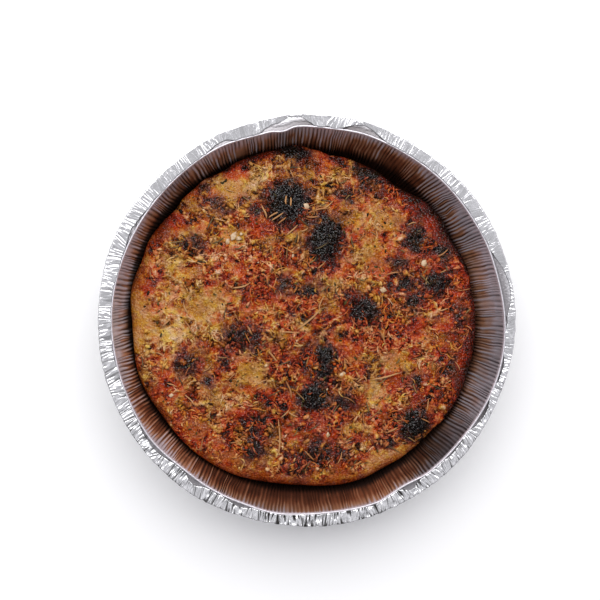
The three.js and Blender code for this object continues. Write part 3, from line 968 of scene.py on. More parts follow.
# Where in the pattern of drops the crust begins to look wet, and where it is wet through
WET_EDGE = (0.56, 0.62)
MORE_SHINE_WHERE_DARK = 0.05
BROWNING_STOPS = [0, 0.20, 0.38, 0.53, 0.68, 0.84, 1]
GOLDEN_COLOURS = ["#D2B290", "#C09662", "#A67238", "#80481E", "#4C2610", "#1E100A", "#060504"]
ROSY_COLOURS = ["#D4AE92", "#C2845C", "#B4522C", "#922A16", "#601A0E", "#260E0A", "#070504"]
SINGED_COLOURS = ["#C89C7C", "#A87456", "#86503C", "#62362C", "#3C2220", "#1A1110", "#070606"]


def edge_radius(angle):
    """The loaf's outline, seen from above."""
    return EDGE_R + felt_at(angle, EDGE_BULGES) + 0.3 * np.sin(11 * angle + 1.3)


def from_loaf_middle(x, y):
    """Direction from the loaf's middle, and distance as a share of the way to its edge."""
    angle = np.arctan2(y, x - BREAD_X)
    return angle, np.hypot(x - BREAD_X, y) / edge_radius(angle)


def on_crust(x, y):
    """Points for noise that follows the crust."""
    return np.stack([x, y, np.zeros_like(x)], axis=-1)


def covered(x, y, rows, ragged, edge, softness):
    """How far points lie in any of the places of a list, from 0 to the place's own strength."""
    best = np.zeros_like(x)
    for px, py, half_x, half_y, strength in rows:
        off = np.hypot((x - px) / half_x, (y - py) / half_y) + ragged
        best = np.maximum(best, strength * np.clip((edge - off) / softness, 0, 1))
    return best


def patch(x, y, rows, softness=0.7):
    """Places with a soft and very ragged edge."""
    flat = on_crust(x, y)
    ragged = 0.28 * noise(flat, 4.0, 21) + 0.22 * noise(flat, 1.8, 22)
    return covered(x, y, rows, ragged, 1.12, softness)


def scorching(x, y):
    """How far the crust is burnt, from 0 to the strength of the burnt place. The skin of a burnt bubble
    is wrinkled, and specks of it were spared."""
    flat = on_crust(x, y)
    burnt = covered(x, y, SCORCHED, 0.14 * noise(flat, 4.5, 35) + 0.14 * noise(flat, 1.7, 36), 1.3, 0.7)
    wrinkled = np.clip(1 - 3.5 * np.abs(noise(flat, 2.6, 39)) + 0.5 * noise(flat, 1.2, 40), 0, 1)
    spared = np.clip(1.8 * noise(flat, 1.6, 46), 0, 1) * np.clip((0.98 - burnt) / 0.3, 0, 1)
    return burnt * (1 - 0.2 * wrinkled - 0.45 * spared)


def singeing(x, y):
    """How far the crust is singed to a dull purple brown, in the burnt places and round them."""
    flat = on_crust(x, y)
    wider = [(px, py, half_x + 4.2, half_y + 4.2, 0.9) for px, py, half_x, half_y, _ in SCORCHED]
    uneven = 0.5 * noise(flat, 3, 59) + 0.3 * noise(flat, 8, 60) - 0.05
    return np.clip(patch(x, y, wider, 0.8) + uneven, 0, 1)


def bareness(x, y):
    """1 on the bare shoulder of the loaf, 0 where cheese and crumbs cover it."""
    angle, share = from_loaf_middle(x, y)
    flat = on_crust(x, y)
    reach = felt_at(angle, [row[:3] for row in BARE_SHOULDER])
    inwards = (1 - share) * EDGE_R + 2.4 * noise(flat, 6, 23) + 1.4 * noise(flat, 2, 24)
    return np.maximum(np.clip((reach - inwards) / 2.0, 0, 1), SMOOTH_SHARE * smoothness(x, y))


def smoothness(x, y):
    """1 in the smooth places of the crust, fading out at their ragged edges."""
    return patch(x, y, [row[:4] + (1.0,) for row in SMOOTH], 0.6)


def melting(x, y):
    """Where cheese and butter ran together into a skin, from 0 to 1."""
    flat = on_crust(x, y)
    ran = 0.25 + 1.1 * noise(flat, 7, 61) + 0.7 * noise(flat, 3, 62) + 0.4 * patch(x, y, PALE)
    skin = np.clip(np.maximum(1.8 * ran - 0.3, smoothness(x, y)), 0, 1)
    return skin * np.clip(1 - scorching(x, y), 0, 1)


def smoothed(x, y, value, column):
    """A value drawn towards that of the smooth places."""
    for row in SMOOTH:
        share = patch(x, y, [row[:4] + (SMOOTH_SHARE,)])
        value = value + share * (row[column] - value)
    return value


def melted_strands(x, y):
    """1 along the strands of cheese that melted together into the crust, 0 between them."""
    flat = on_crust(x, y)
    drift = on_crust(noise(flat, 5, 52), noise(flat, 5, 53))
    found = np.zeros_like(x)
    for seed in (54, 56):
        strand = np.clip(1.15 - 2.8 * np.abs(noise(flat + 2.0 * drift, STRAND_WIDTH, seed)), 0, 1)
        broken = np.clip(0.75 + 1.4 * noise(flat, 3.5, seed + 1), 0, 1)
        found = np.maximum(found, strand * broken)
        flat = flat[:, [1, 0, 2]]
    return found


def tone(x, y, column):
    """One of the last two values of TONES, faded out towards the edge of each place."""
    total = np.zeros_like(x)
    for row in TONES:
        off = np.hypot((x - row[0]) / row[2], (y - row[1]) / row[3])
        total += row[column] * np.maximum(0, 1 - off**2) ** 2
    return total


def crust_height(x, y):
    """The loaf's own form, without its crumbs."""
    share = np.minimum(from_loaf_middle(x, y)[1], 1)
    turn = np.maximum(0, (share - SHOULDER_START) / (1 - SHOULDER_START))
    height = WIDEST_Z + SHOULDER_RISE * np.sqrt(1 - turn**2) + CROWN_RISE * (1 - share**2)
    own_x = x - BREAD_X
    raised = 1 - turn**4
    height += raised * SWELL * np.sin(own_x / 7.3 + 1.1) * np.cos(y / 8.9 - 0.4)
    height += raised * 0.6 * SWELL * np.sin(own_x / 4.1 - y / 5.2)
    for bx, by, half_x, half_y, rise in BUBBLES:
        off = np.hypot((x - bx) / half_x, (y - by) / half_y)
        height += raised * rise * np.maximum(0, 1 - off**2) ** 1.2
    return height


def crumb_relief(x, y):
    """The cheese and crumbs that have melted into the crust."""
    flat = on_crust(x, y)
    cover = (1 - 0.85 * bareness(x, y)) * (1 - 0.4 * melting(x, y))
    coarse = noise(flat, 2.7, 25)
    fine = noise(flat, 1.4, 26)
    crackle = 0.5 - 2 * np.abs(noise(flat, 3.2, 28))
    charred = scorching(x, y)
    strands = 1.25 * melted_strands(x, y) - 0.5
    crumbs = (1 - 0.6 * charred) * (0.5 * coarse + 0.3 * fine + strands) + charred * 0.5 * crackle
    return cover * crumbs + 0.15 * noise(flat, 9, 27)


def over_the_shoulder(x, y, column):
    """One of the values of BARE_SHOULDER, blended between its stretches."""
    angle = from_loaf_middle(x, y)[0]
    amounts = [felt_at(angle, [row[:3]]) + 0.001 for row in BARE_SHOULDER]
    return sum(amount * row[column] for amount, row in zip(amounts, BARE_SHOULDER)) / sum(amounts)


def bare_browning(x, y):
    """How dark the bare dough is baked: each stretch of shoulder has its own level."""
    share = from_loaf_middle(x, y)[1]
    return over_the_shoulder(x, y, 3) + 0.25 * np.clip((share - 0.93) / 0.07, 0, 1)


def browning(x, y):
    """How dark the crust is baked, from 0 for pale cheese to 1 for charcoal."""
    flat = on_crust(x, y)
    bare = bareness(x, y)
    pale = patch(x, y, PALE)
    melted = melting(x, y)
    level = CRUST_BROWNING + 0.06 * (0.4 - melted)
    level += 0.03 * noise(flat, 16, 31) + 0.06 * noise(flat, 6.5, 32)
    rough = 1 - 0.6 * np.maximum(pale, melted)
    level += rough * 0.06 * np.clip(2.4 * noise(flat, 1.4, 33), -1, 1)
    # Painted shade and light: the crust is browned darker in the hollows of its relief and paler on its
    # raised bits, and the melted strands are paler cheese
    level -= rough * (0.24 * crumb_relief(x, y) + 0.18 * (melted_strands(x, y) - 0.4))
    level += 0.15 * patch(x, y, BROWNED) - 0.2 * pale + tone(x, y, 4)
    spots = np.random.default_rng(5)
    for _ in range(DARK_SPOTS):
        reach = SPOTS_WITHIN * np.sqrt(spots.uniform())
        facing = spots.uniform(0, 2 * np.pi)
        size = spots.uniform(1.0, 2.6)
        strength = spots.uniform(0.12, 0.4)
        off = np.hypot(x - reach * np.cos(facing), y - reach * np.sin(facing)) / size
        level += strength * np.maximum(0, 1 - off**2)
    level = bare * (bare_browning(x, y) + 0.1 * noise(flat, 5, 34)) + (1 - bare) * level
    level = smoothed(x, y, level, 4)
    return np.clip(level + scorching(x, y) * (1.0 - level), 0, 1)


def rosiness(x, y):
    """Where the crust browns rosy, over the bare oiled dough, and where golden, under cheese."""
    flat = on_crust(x, y)
    rosy = CRUST_ROSINESS + 0.65 * noise(flat, 9, 37) + 0.65 * noise(flat, 4.2, 38)
    rosy += 0.25 * patch(x, y, BROWNED) - 0.4 * patch(x, y, PALE) + tone(x, y, 5)
    rosy -= 0.2 * (melted_strands(x, y) - 0.3)
    bare = bareness(x, y)
    return np.clip(smoothed(x, y, (1 - bare) * rosy + bare * over_the_shoulder(x, y, 4), 5), 0, 1)


def browning_scale(tree):
    """The colours that crust and cheese go through in the oven: a golden, a rosy and a singed row of
    them over the level of browning. Each curd browns in its own way, drops of butterfat yellow them,
    and the gaps between curds are painted in shade. Gives the colour, the curds and the level."""
    level = add_node(tree, "ShaderNodeAttribute", attribute_name="browning").outputs["Fac"]
    rosy = add_node(tree, "ShaderNodeAttribute", attribute_name="rosiness").outputs["Fac"]
    singed = add_node(tree, "ShaderNodeAttribute", attribute_name="singed").outputs["Fac"]
    place = add_node(tree, "ShaderNodeTexCoord").outputs["Object"]
    grain = add_node(
        tree,
        "ShaderNodeTexVoronoi",
        {"Vector": place, "Scale": 1 / (CURD * MM), "Detail": 1.5, "Roughness": 0.6},
        normalize=True,
    )
    melted = add_node(tree, "ShaderNodeAttribute", attribute_name="melted").outputs["Fac"]
    contrast = add_node(
        tree,
        "ShaderNodeMapRange",
        {"Value": melted, "To Min": GRAIN_CONTRAST, "To Max": MELTED_CONTRAST},
    )
    centred = add_node(
        tree,
        "ShaderNodeMath",
        {0: grain.outputs[0], 1: CURD_MIDDLE},
        operation="SUBTRACT",
    )
    uneven = add_node(
        tree,
        "ShaderNodeMath",
        {0: centred.outputs[0], 1: contrast.outputs[0], 2: level},
        operation="MULTIPLY_ADD",
    )
    rows = []
    for colours in (GOLDEN_COLOURS, ROSY_COLOURS, SINGED_COLOURS):
        ramp = add_node(tree, "ShaderNodeValToRGB", {0: uneven.outputs[0]})
        colour_stops(ramp, list(zip(BROWNING_STOPS, colours)))
        rows.append(ramp.outputs[0])
    mixed = add_node(tree, "ShaderNodeMix", {"Factor": rosy, 6: rows[0], 7: rows[1]}, data_type="RGBA")
    dulled = add_node(
        tree,
        "ShaderNodeMix",
        {"Factor": singed, 6: mixed.outputs[2], 7: rows[2]},
        data_type="RGBA",
    )
    butter = add_node(
        tree,
        "ShaderNodeTexNoise",
        {"Vector": place, "Scale": 1 / (BUTTER_DROP * MM), "Detail": 1.0},
    )
    yellow = add_node(tree, "ShaderNodeValToRGB", {0: butter.outputs[0]})
    colour_stops(yellow, BUTTER_COLOURS)
    # Painted shade in the gaps between curds
    gap_range = {"Value": grain.outputs[0], "From Min": GAP_EDGE[0], "From Max": GAP_EDGE[1]}
    gaps = add_node(tree, "ShaderNodeMapRange", {**gap_range, "To Min": 1.0, "To Max": GAP_SHADE})
    colour = dulled.outputs[2]
    for shade in (yellow.outputs[0], gaps.outputs[0]):
        shaded = add_node(
            tree,
            "ShaderNodeMix",
            {"Factor": 1.0, 6: colour, 7: shade},
            data_type="RGBA",
            blend_type="MULTIPLY",
        )
        colour = shaded.outputs[2]
    return colour, grain.outputs[0], level


def baked_crust():
    """Browned, oily bread crust under grated cheese: matt where dry, and wet with small glinting drops
    where oil and cheese ran."""
    material, tree, surface = start_material("baked_crust")
    colour, grain, level = browning_scale(tree)
    place = add_node(tree, "ShaderNodeTexCoord").outputs["Object"]
    drops = add_node(
        tree,
        "ShaderNodeTexNoise",
        {"Vector": place, "Scale": 1 / (WET_DROP * MM), "Detail": 2.0, "Roughness": 0.7},
    )
    wet = add_node(
        tree,
        "ShaderNodeMath",
        {0: level, 1: MORE_SHINE_WHERE_DARK, 2: drops.outputs[0]},
        operation="MULTIPLY_ADD",
    )
    wet_range = {"Value": wet.outputs[0], "From Min": WET_EDGE[0], "From Max": WET_EDGE[1]}
    oily = add_node(tree, "ShaderNodeMapRange", {**wet_range, "To Min": 0.0, "To Max": 1.0})
    shine = add_node(tree, "ShaderNodeMapRange", {**wet_range, "To Min": 0.5, "To Max": 0.12})
    bump = add_node(
        tree,
        "ShaderNodeBump",
        {"Height": grain, "Strength": 1.0, "Distance": CURD_RELIEF * MM},
        invert=True,
    )
    shader = add_node(
        tree,
        "ShaderNodeBsdfPrincipled",
        {
            "Base Color": colour,
            "Roughness": shine.outputs[0],
            "Normal": bump.outputs[0],
            "Specular IOR Level": oily.outputs[0],
        },
    )
    tree.links.new(shader.outputs[0], surface)
    return material


def make_loaf():
    """The crown is a disc of rings, ring k with 6k points; further rings carry the side down."""
    rings = []
    counts = []

    def ring(count, share, z=None, drawn_in=0.0):
        angle = 2 * np.pi * np.arange(count) / count
        radius = share * edge_radius(angle) - drawn_in
        x = radius * np.cos(angle) + BREAD_X
        y = radius * np.sin(angle)
        if z is None:
            z = crust_height(x, y) + crumb_relief(x, y) * np.clip((1 - share) / 0.02, 0.3, 1)
        z = z + np.zeros(count)
        limit = wall_radius(z, np.arctan2(y, x)) - LOAF_CLEARANCE
        pull = np.minimum(1, limit / np.maximum(np.hypot(x, y), 1e-6))
        rings.append(np.stack([x * pull, y * pull, z], axis=-1))
        counts.append(count)

    ring(1, 0.0)
    for k in range(1, CROWN_RINGS + 1):
        ring(6 * k, SHOULDER_START * k / CROWN_RINGS)
    edge_count = 6 * CROWN_RINGS
    for k in range(1, SHOULDER_RINGS + 1):
        turn = np.pi / 2 * k / SHOULDER_RINGS
        ring(edge_count, SHOULDER_START + (1 - SHOULDER_START) * np.sin(turn))
    slope = (MOUTH_R - FLOOR_R) / PAN_DEPTH
    for z, drawn_in in SIDE:
        ring(edge_count, 1.0, z, drawn_in + slope * (WIDEST_Z - z))

    starts = np.concatenate([[0], np.cumsum(counts)])
    triangles = []
    for k in range(1, CROWN_RINGS + 1):
        sextant, i = np.meshgrid(np.arange(6), np.arange(k), indexing="ij")
        inner_count = max(1, 6 * (k - 1))
        a = starts[k - 1] + (sextant * (k - 1) + i) % inner_count
        b = starts[k] + sextant * k + i
        c = starts[k] + (sextant * k + i + 1) % (6 * k)
        triangles.append(np.stack([a, b, c], axis=-1).reshape(-1, 3))
        if k > 1:
            i = i[:, :-1]
            d = starts[k - 1] + (sextant[:, :-1] * (k - 1) + i + 1) % inner_count
            triangles.append(np.stack([a[:, :-1], c[:, :-1], d], axis=-1).reshape(-1, 3))
    side = bands(len(rings) - CROWN_RINGS, edge_count)[:, ::-1] + starts[CROWN_RINGS]
    foot_start = starts[len(rings) - 1]
    station, following = neighbours(edge_count)
    middle = np.full(edge_count, starts[-1])
    underside = np.stack([foot_start + station, middle, foot_start + following], axis=-1)
    points = np.concatenate(rings + [np.array([[BREAD_X, 0, LOAF_FOOT]])])
    x, y, z = points.T
    colouring = {
        "browning": np.where(z < WIDEST_Z - 1.5, SIDE_BROWNING, browning(x, y)),
        "rosiness": rosiness(x, y),
        "singed": singeing(x, y),
        "melted": melting(x, y),
    }
    faces = [np.concatenate(triangles), side, underside]
    return mesh_piece("loaf", points, faces, baked_crust(), colouring)


loaf = make_loaf()
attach(loaf, "root")
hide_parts("focaccia")


# Crumbs
# Finely grated hard cheese and breadcrumbs, strewn over the dough before baking. Each is a ragged
# grain of about a millimetre, half melted into the crust.

ICOSAHEDRON_RISE = 1 / np.sqrt(5)
# Crumbs lie within this share of the way to the loaf's edge
STREWN_SHARE = 0.965
# How many there are, and their smallest and largest half width
GOLDEN_CRUMBS = 1500
GOLDEN_SIZES = (0.5, 1.5)
BROWN_CRUMBS = 1000
BROWN_SIZES = (0.5, 1.4)
FINE_CRUMBS = 2600
FINE_SIZES = (0.24, 0.5)


def icosahedron():
    """Twelve points and twenty faces."""
    ring = 2 * np.pi * np.arange(5) / 5
    flat = np.sqrt(1 - ICOSAHEDRON_RISE**2)
    upper = np.stack([flat * np.cos(ring), flat * np.sin(ring), np.full(5, ICOSAHEDRON_RISE)], axis=-1)
    lower = upper @ np.diag([-1, -1, -1])
    points = np.concatenate([upper, lower, [[0, 0, 1], [0, 0, -1]]])
    faces = []
    for i in range(5):
        j = (i + 1) % 5
        opposite = 5 + (i + 3) % 5
        faces.append((10, i, j))
        faces.append((i, opposite, j))
        faces.append((j, opposite, 5 + (j + 3) % 5))
        faces.append((11, 5 + (j + 3) % 5, opposite))
    return points, np.array(faces)


def octahedron():
    """Six points and eight faces."""
    points = np.array([[1, 0, 0], [0, 1, 0], [-1, 0, 0], [0, -1, 0], [0, 0, 1], [0, 0, -1]], dtype=float)
    upper = [(i, (i + 1) % 4, 4) for i in range(4)]
    lower = [((i + 1) % 4, i, 5) for i in range(4)]
    return points, np.array(upper + lower)


def scatter(draw, count, keep):
    """Places on the crown, kept by the chance that keep gives each."""
    places = np.zeros((0, 2))
    while len(places) < count:
        radius = STREWN_SHARE * EDGE_R * np.sqrt(draw.uniform(size=4 * count))
        angle = draw.uniform(0, 2 * np.pi, size=4 * count)
        x = radius * np.cos(angle) + BREAD_X
        y = radius * np.sin(angle)
        inside = from_loaf_middle(x, y)[1] < STREWN_SHARE
        kept = inside & (draw.uniform(size=4 * count) < keep(x, y))
        places = np.concatenate([places, np.stack([x[kept], y[kept]], axis=-1)])
    return places[:count, 0], places[:count, 1]


def turns(draw, count):
    """Random rotation matrices."""
    axis = draw.normal(size=(count, 3))
    axis /= np.linalg.norm(axis, axis=1)[:, None]
    angle = draw.uniform(0, np.pi, count)
    cross = np.zeros((count, 3, 3))
    cross[:, 0, 1], cross[:, 0, 2] = -axis[:, 2], axis[:, 1]
    cross[:, 1, 0], cross[:, 1, 2] = axis[:, 2], -axis[:, 0]
    cross[:, 2, 0], cross[:, 2, 1] = -axis[:, 1], axis[:, 0]
    sine = np.sin(angle)[:, None, None]
    cosine = np.cos(angle)[:, None, None]
    return np.eye(3) + sine * cross + (1 - cosine) * cross @ cross


def make_crumbs(name, seed, count, keep, sizes, level_of, material, form=icosahedron):
    """Ragged grains of one form, flattened, stretched and turned at random, that sit in the crust."""
    draw = np.random.default_rng(seed)
    grain, grain_faces = form()
    x, y = scatter(draw, count, keep)
    size = sizes[0] + (sizes[1] - sizes[0]) * draw.uniform(size=count) ** 2
    shape = grain[None] * draw.uniform(0.6, 1.3, size=(count, len(grain), 1))
    shape = shape @ turns(draw, count)
    long = draw.uniform(0.8, 2.0, count)
    wide = draw.uniform(0.6, 1.1, count)
    stretch = np.stack([long, wide, np.full(count, 0.55)], axis=-1)
    spin = draw.uniform(0, 2 * np.pi, count)
    shape = shape * (size[:, None] * stretch)[:, None, :]
    across = shape[..., 0] * np.cos(spin)[:, None] - shape[..., 1] * np.sin(spin)[:, None]
    ahead = shape[..., 0] * np.sin(spin)[:, None] + shape[..., 1] * np.cos(spin)[:, None]
    z = crust_height(x, y) + crumb_relief(x, y) + 0.3 * size
    points = np.stack([x[:, None] + across, y[:, None] + ahead, z[:, None] + shape[..., 2]], axis=-1)
    faces = grain_faces[None] + len(grain) * np.arange(count)[:, None, None]
    level = np.repeat(np.clip(level_of(browning(x, y), draw), 0, 1), len(grain))
    rosy = np.repeat(np.clip(rosiness(x, y) + draw.uniform(-0.08, 0.08, count), 0, 1), len(grain))
    singed = np.repeat(singeing(x, y) * draw.uniform(0.2, 1, count), len(grain))
    colouring = {"browning": level, "rosiness": rosy, "singed": singed}
    return mesh_piece(name, points.reshape(-1, 3), [faces.reshape(-1, 3)], material, colouring)


def toasted_crumb(name, shine=0.12):
    """Melted hard cheese and toasted crumbs, coloured as the crust is, with a soft oily shine."""
    material, tree, surface = start_material(name)
    colour, _, _ = browning_scale(tree)
    shader = add_node(
        tree,
        "ShaderNodeBsdfPrincipled",
        {"Base Color": colour, "Roughness": 0.28, "Specular IOR Level": shine},
    )
    tree.links.new(shader.outputs[0], surface)
    return material


def golden_chance(x, y):
    """Crumbs lie thickest where the crust is neither burnt nor smooth with melted cheese."""
    flat = on_crust(x, y)
    thick = np.clip(0.45 + 1.1 * noise(flat, 12, 47) - 0.006 * y, 0.06, 1)
    thick = thick * (1 - 0.4 * patch(x, y, PALE)) * (1 - 0.75 * melting(x, y))
    return thick * (1 - bareness(x, y)) * np.clip(1 - 1.15 * scorching(x, y), 0.01, 1)


def brown_chance(x, y):
    """Browned crumbs lie thickest where the crust is dark."""
    thick = (1 - 0.9 * bareness(x, y)) * (1 - 0.6 * melting(x, y))
    return thick * (1 - 0.85 * scorching(x, y)) * np.clip(0.25 + 1.2 * browning(x, y), 0, 1)


def fine_chance(x, y):
    """The finest crumbs drifted together, and sank in where the cheese melted."""
    flat = on_crust(x, y)
    drifted = np.clip(0.5 + 1.1 * noise(flat, 8, 50), 0.05, 1) * (1 - 0.9 * bareness(x, y))
    return drifted * (1 - 0.7 * melting(x, y)) * (1 - 0.9 * scorching(x, y))


def golden_level(level, draw):
    """Golden crumbs are paler than the crust under them and never burnt."""
    return np.clip(level, 0.34, 0.62) - 0.08 + draw.uniform(-0.12, 0.12, len(level))


def brown_level(level, draw):
    """Browned crumbs stood up to the heat, and are mostly darker than the crust under them."""
    return level + 0.08 + draw.uniform(-0.1, 0.16, len(level))


def fine_level(level, draw):
    """Fine crumbs are a little paler than the crust under them, or much darker, or burnt with it."""
    unburnt = np.minimum(level, 0.7) + draw.choice([-0.18, -0.1, 0.26], len(level))
    return np.where(level > 0.82, level - 0.06, unburnt) + draw.uniform(-0.1, 0.1, len(level))


golden_crumbs = make_crumbs(
    "golden_crumbs",
    41,
    GOLDEN_CRUMBS,
    golden_chance,
    GOLDEN_SIZES,
    golden_level,
    toasted_crumb("golden_crumb"),
)
brown_crumbs = make_crumbs(
    "browned_crumbs",
    42,
    BROWN_CRUMBS,
    brown_chance,
    BROWN_SIZES,
    brown_level,
    toasted_crumb("browned_crumb"),
)
fine_crumbs = make_crumbs(
    "fine_crumbs",
    49,
    FINE_CRUMBS,
    fine_chance,
    FINE_SIZES,
    fine_level,
    toasted_crumb("fine_crumb", shine=0.7),
    octahedron,
)
for crumbs in (golden_crumbs, brown_crumbs, fine_crumbs):
    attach(crumbs, "root")
    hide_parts("focaccia")


# Herb flecks
# Rubbed dried herbs, strewn with the rosemary: flat bits of leaf of about a millimetre, nearly black
# after the oven, with some olive left.

HERB_FLECKS = 430
FLECK_SIZES = (0.35, 0.85)
# From olive to nearly black. Crumbled leaf has lost its waxy skin and looks matt.
HERB_COLOURS = [(0, "#5A4F26"), (1, "#14100B")]


def dry_leaf(name, colours, roughness, shine):
    """Leaf that dried in the oven, in colours over how far it has dried."""
    material, tree, surface = start_material(name)
    dried = add_node(tree, "ShaderNodeAttribute", attribute_name="browning")
    ramp = add_node(tree, "ShaderNodeValToRGB", {0: dried.outputs["Fac"]})
    colour_stops(ramp, colours)
    shader = add_node(
        tree,
        "ShaderNodeBsdfPrincipled",
        {"Base Color": ramp.outputs[0], "Roughness": roughness, "Specular IOR Level": shine},
    )
    tree.links.new(shader.outputs[0], surface)
    return material


def fleck_chance(x, y):
    """The flecks stuck where the cheese lay thick."""
    return (1 - 0.6 * bareness(x, y)) * (0.25 + 0.75 * patch(x, y, PALE))


def fleck_level(level, draw):
    """How dark a fleck is doesn't depend on the crust."""
    return draw.uniform(0.1, 1.0, len(level))


herb_flecks = make_crumbs(
    "herb_flecks",
    48,
    HERB_FLECKS,
    fleck_chance,
    FLECK_SIZES,
    fleck_level,
    dry_leaf("dried_herb", HERB_COLOURS, 0.6, 0.15),
)
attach(herb_flecks, "root")
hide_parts("focaccia")


# Shreds
# Longer strands of the same cheese, off a coarse grater. They sagged onto the crust as they melted
# and browned at their tips.

SHREDS = 1150
SHRED_LENGTHS = (2.2, 7.2)
SHRED_THICKNESSES = (0.5, 1.1)
SHRED_BEND = 1.3
SHRED_LIFTS = (0.15, 0.6)
SHRED_RINGS = 7
SHRED_SIDES = 5


def make_strands(name, seed, x, y, length, facing, bend, thickness, material, levels, lift):
    """Thin tapering strands that lie on the crust, each bent sideways and wavy."""
    draw = np.random.default_rng(seed)
    count = len(x)
    along = np.linspace(-1, 1, SHRED_RINGS)
    taper = np.sqrt(np.maximum(1 - np.abs(along) ** 3, 0.05))
    wave = draw.uniform(-0.25, 0.25, (count, 1)) * np.sin(3 * along + draw.uniform(0, 6, (count, 1)))
    side = bend[:, None] * (1 - along**2) + wave * length[:, None] * 0.12
    ahead = along * length[:, None] / 2
    cx = x[:, None] + ahead * np.cos(facing)[:, None] - side * np.sin(facing)[:, None]
    cy = y[:, None] + ahead * np.sin(facing)[:, None] + side * np.cos(facing)[:, None]
    flat_x, flat_y = cx.ravel(), cy.ravel()
    cz = (crust_height(flat_x, flat_y) + crumb_relief(flat_x, flat_y)).reshape(cx.shape)
    cz = np.maximum(cz, cz.mean(axis=1)[:, None] - 0.1) + lift[:, None]
    ring = 2 * np.pi * np.arange(SHRED_SIDES) / SHRED_SIDES
    radius = thickness[:, None, None] * taper[None, :, None] / 2
    wide = radius * np.cos(ring)[None, None, :]
    high = 0.7 * radius * np.sin(ring)[None, None, :]
    px = cx[..., None] - wide * np.sin(facing)[:, None, None]
    py = cy[..., None] + wide * np.cos(facing)[:, None, None]
    pz = cz[..., None] + high
    points = np.stack([px, py, pz], axis=-1).reshape(count, -1, 3)
    tips = np.stack([np.stack([cx[:, e], cy[:, e], cz[:, e]], axis=-1) for e in (0, -1)], axis=1)
    points = np.concatenate([points, tips], axis=1)
    body = bands(SHRED_RINGS, SHRED_SIDES)
    corner, following = neighbours(SHRED_SIDES)
    near_tip = SHRED_RINGS * SHRED_SIDES
    far_ring = near_tip - SHRED_SIDES
    near_cap = np.stack([np.full(SHRED_SIDES, near_tip), following, corner], axis=-1)
    far_tip = np.full(SHRED_SIDES, near_tip + 1)
    far_cap = np.stack([far_tip, far_ring + corner, far_ring + following], axis=-1)
    size = points.shape[1]
    shift = size * np.arange(count)[:, None, None]
    faces = [(part[None] + shift).reshape(-1, part.shape[1]) for part in (body, near_cap, far_cap)]
    tip_share = np.concatenate([np.repeat(np.abs(along) ** 2, SHRED_SIDES), [1, 1]])
    browned = levels[:, None] + 0.12 * tip_share[None]
    rosy = np.clip(0.1 + 0.8 * rosiness(x, y) + draw.uniform(-0.15, 0.15, count), 0, 1)
    singed = np.repeat(0.5 * singeing(x, y), size)
    browned = np.clip(browned, 0, 1).ravel()
    colouring = {"browning": browned, "rosiness": np.repeat(rosy, size), "singed": singed}
    return mesh_piece(name, points.reshape(-1, 3), faces, material, colouring)


def shred_chance(x, y):
    """The shreds fell in loose heaps."""
    flat = on_crust(x, y)
    return golden_chance(x, y) * np.clip(0.15 + 1.8 * noise(flat, 9, 58), 0.06, 1)


def make_shreds():
    """Mostly short shreds, with a few long ones, lying any way and bent either way."""
    draw = np.random.default_rng(43)
    x, y = scatter(draw, SHREDS, shred_chance)
    shortest, longest = SHRED_LENGTHS
    length = shortest + (longest - shortest) * draw.uniform(size=SHREDS) ** 1.6
    facing = draw.uniform(0, np.pi, SHREDS)
    bend = draw.uniform(-SHRED_BEND, SHRED_BEND, SHREDS)
    thickness = draw.uniform(*SHRED_THICKNESSES, SHREDS)
    levels = np.minimum(browning(x, y), 0.8) * 0.62 + draw.uniform(-0.1, 0.1, SHREDS)
    lift = draw.uniform(*SHRED_LIFTS, SHREDS)
    cheese = toasted_crumb("melted_cheese")
    name = "cheese_shreds"
    return make_strands(name, 44, x, y, length, facing, bend, thickness, cheese, levels, lift)


cheese_shreds = make_shreds()
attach(cheese_shreds, "root")
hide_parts("focaccia")


# Rosemary
# Dried rosemary needles and a few stalks, strewn on top. The oven turned them from grey-green to
# straw and brown, and they lie flat, partly sunk in the cheese.

# The needles that show best: x, y, length, direction in degrees, how far they bend sideways
NEEDLES = [
    (5.6, 60.8, 13, 12, 0.3),
    (2.6, 57.2, 7, 0, 0.1),
    (-16.5, 57.2, 8, 34, 0.2),
    (-18.8, 58.4, 6, 30, 0.1),
    (-14.0, 55.2, 6, 42, 0.1),
    (-23.6, 60.0, 8, -70, 0.2),
    (-8.8, 50.0, 9, 42, -0.3),
    (-36.3, 20.1, 11, 18, -1.0),
    (-65.0, -3.3, 10, -57, 0.5),
    (-77.4, -0.8, 6, 45, 0.2),
    (7.3, 10.4, 8, 69, 0.1),
    (0.6, 1.6, 19, 41, -0.8),
    (-31.8, -4.7, 6, -60, 0.2),
    (-10.3, -37.6, 11, -75, 0.4),
    (-16.0, -64.6, 21, 89, -0.5),
    (1.0, -74.8, 8, -46, 0.2),
    (43.5, -31.1, 18, 13, 0.5),
    (47.6, -61.0, 7, 24, 0.1),
    (41.4, -9.1, 9, -68, 0.3),
    (47.0, 26.4, 8, 10, 0.2),
    (-18.7, -19.2, 9, -50, -0.3),
    (-9.4, -6.3, 11, 0, 0.6),
    (-11.9, 66.4, 5, 90, 0.1),
    (-9.2, 65.4, 5, 90, 0.1),
]
NEEDLE_THICKNESSES = (0.9, 1.1)
NEEDLE_LIFT = 0.75
SMALL_NEEDLES = 150
SMALL_LENGTHS = (3.5, 9)
SMALL_THICKNESSES = (0.55, 0.9)
SMALL_LIFTS = (0.3, 0.6)
SMALL_BEND = 0.8
# From straw over olive to dark brown
ROSEMARY_COLOURS = [
    (0, "#B98A5A"),
    (0.35, "#9A6236"),
    (0.6, "#7A6238"),
    (0.8, "#4C4028"),
    (1, "#2C2114"),
]


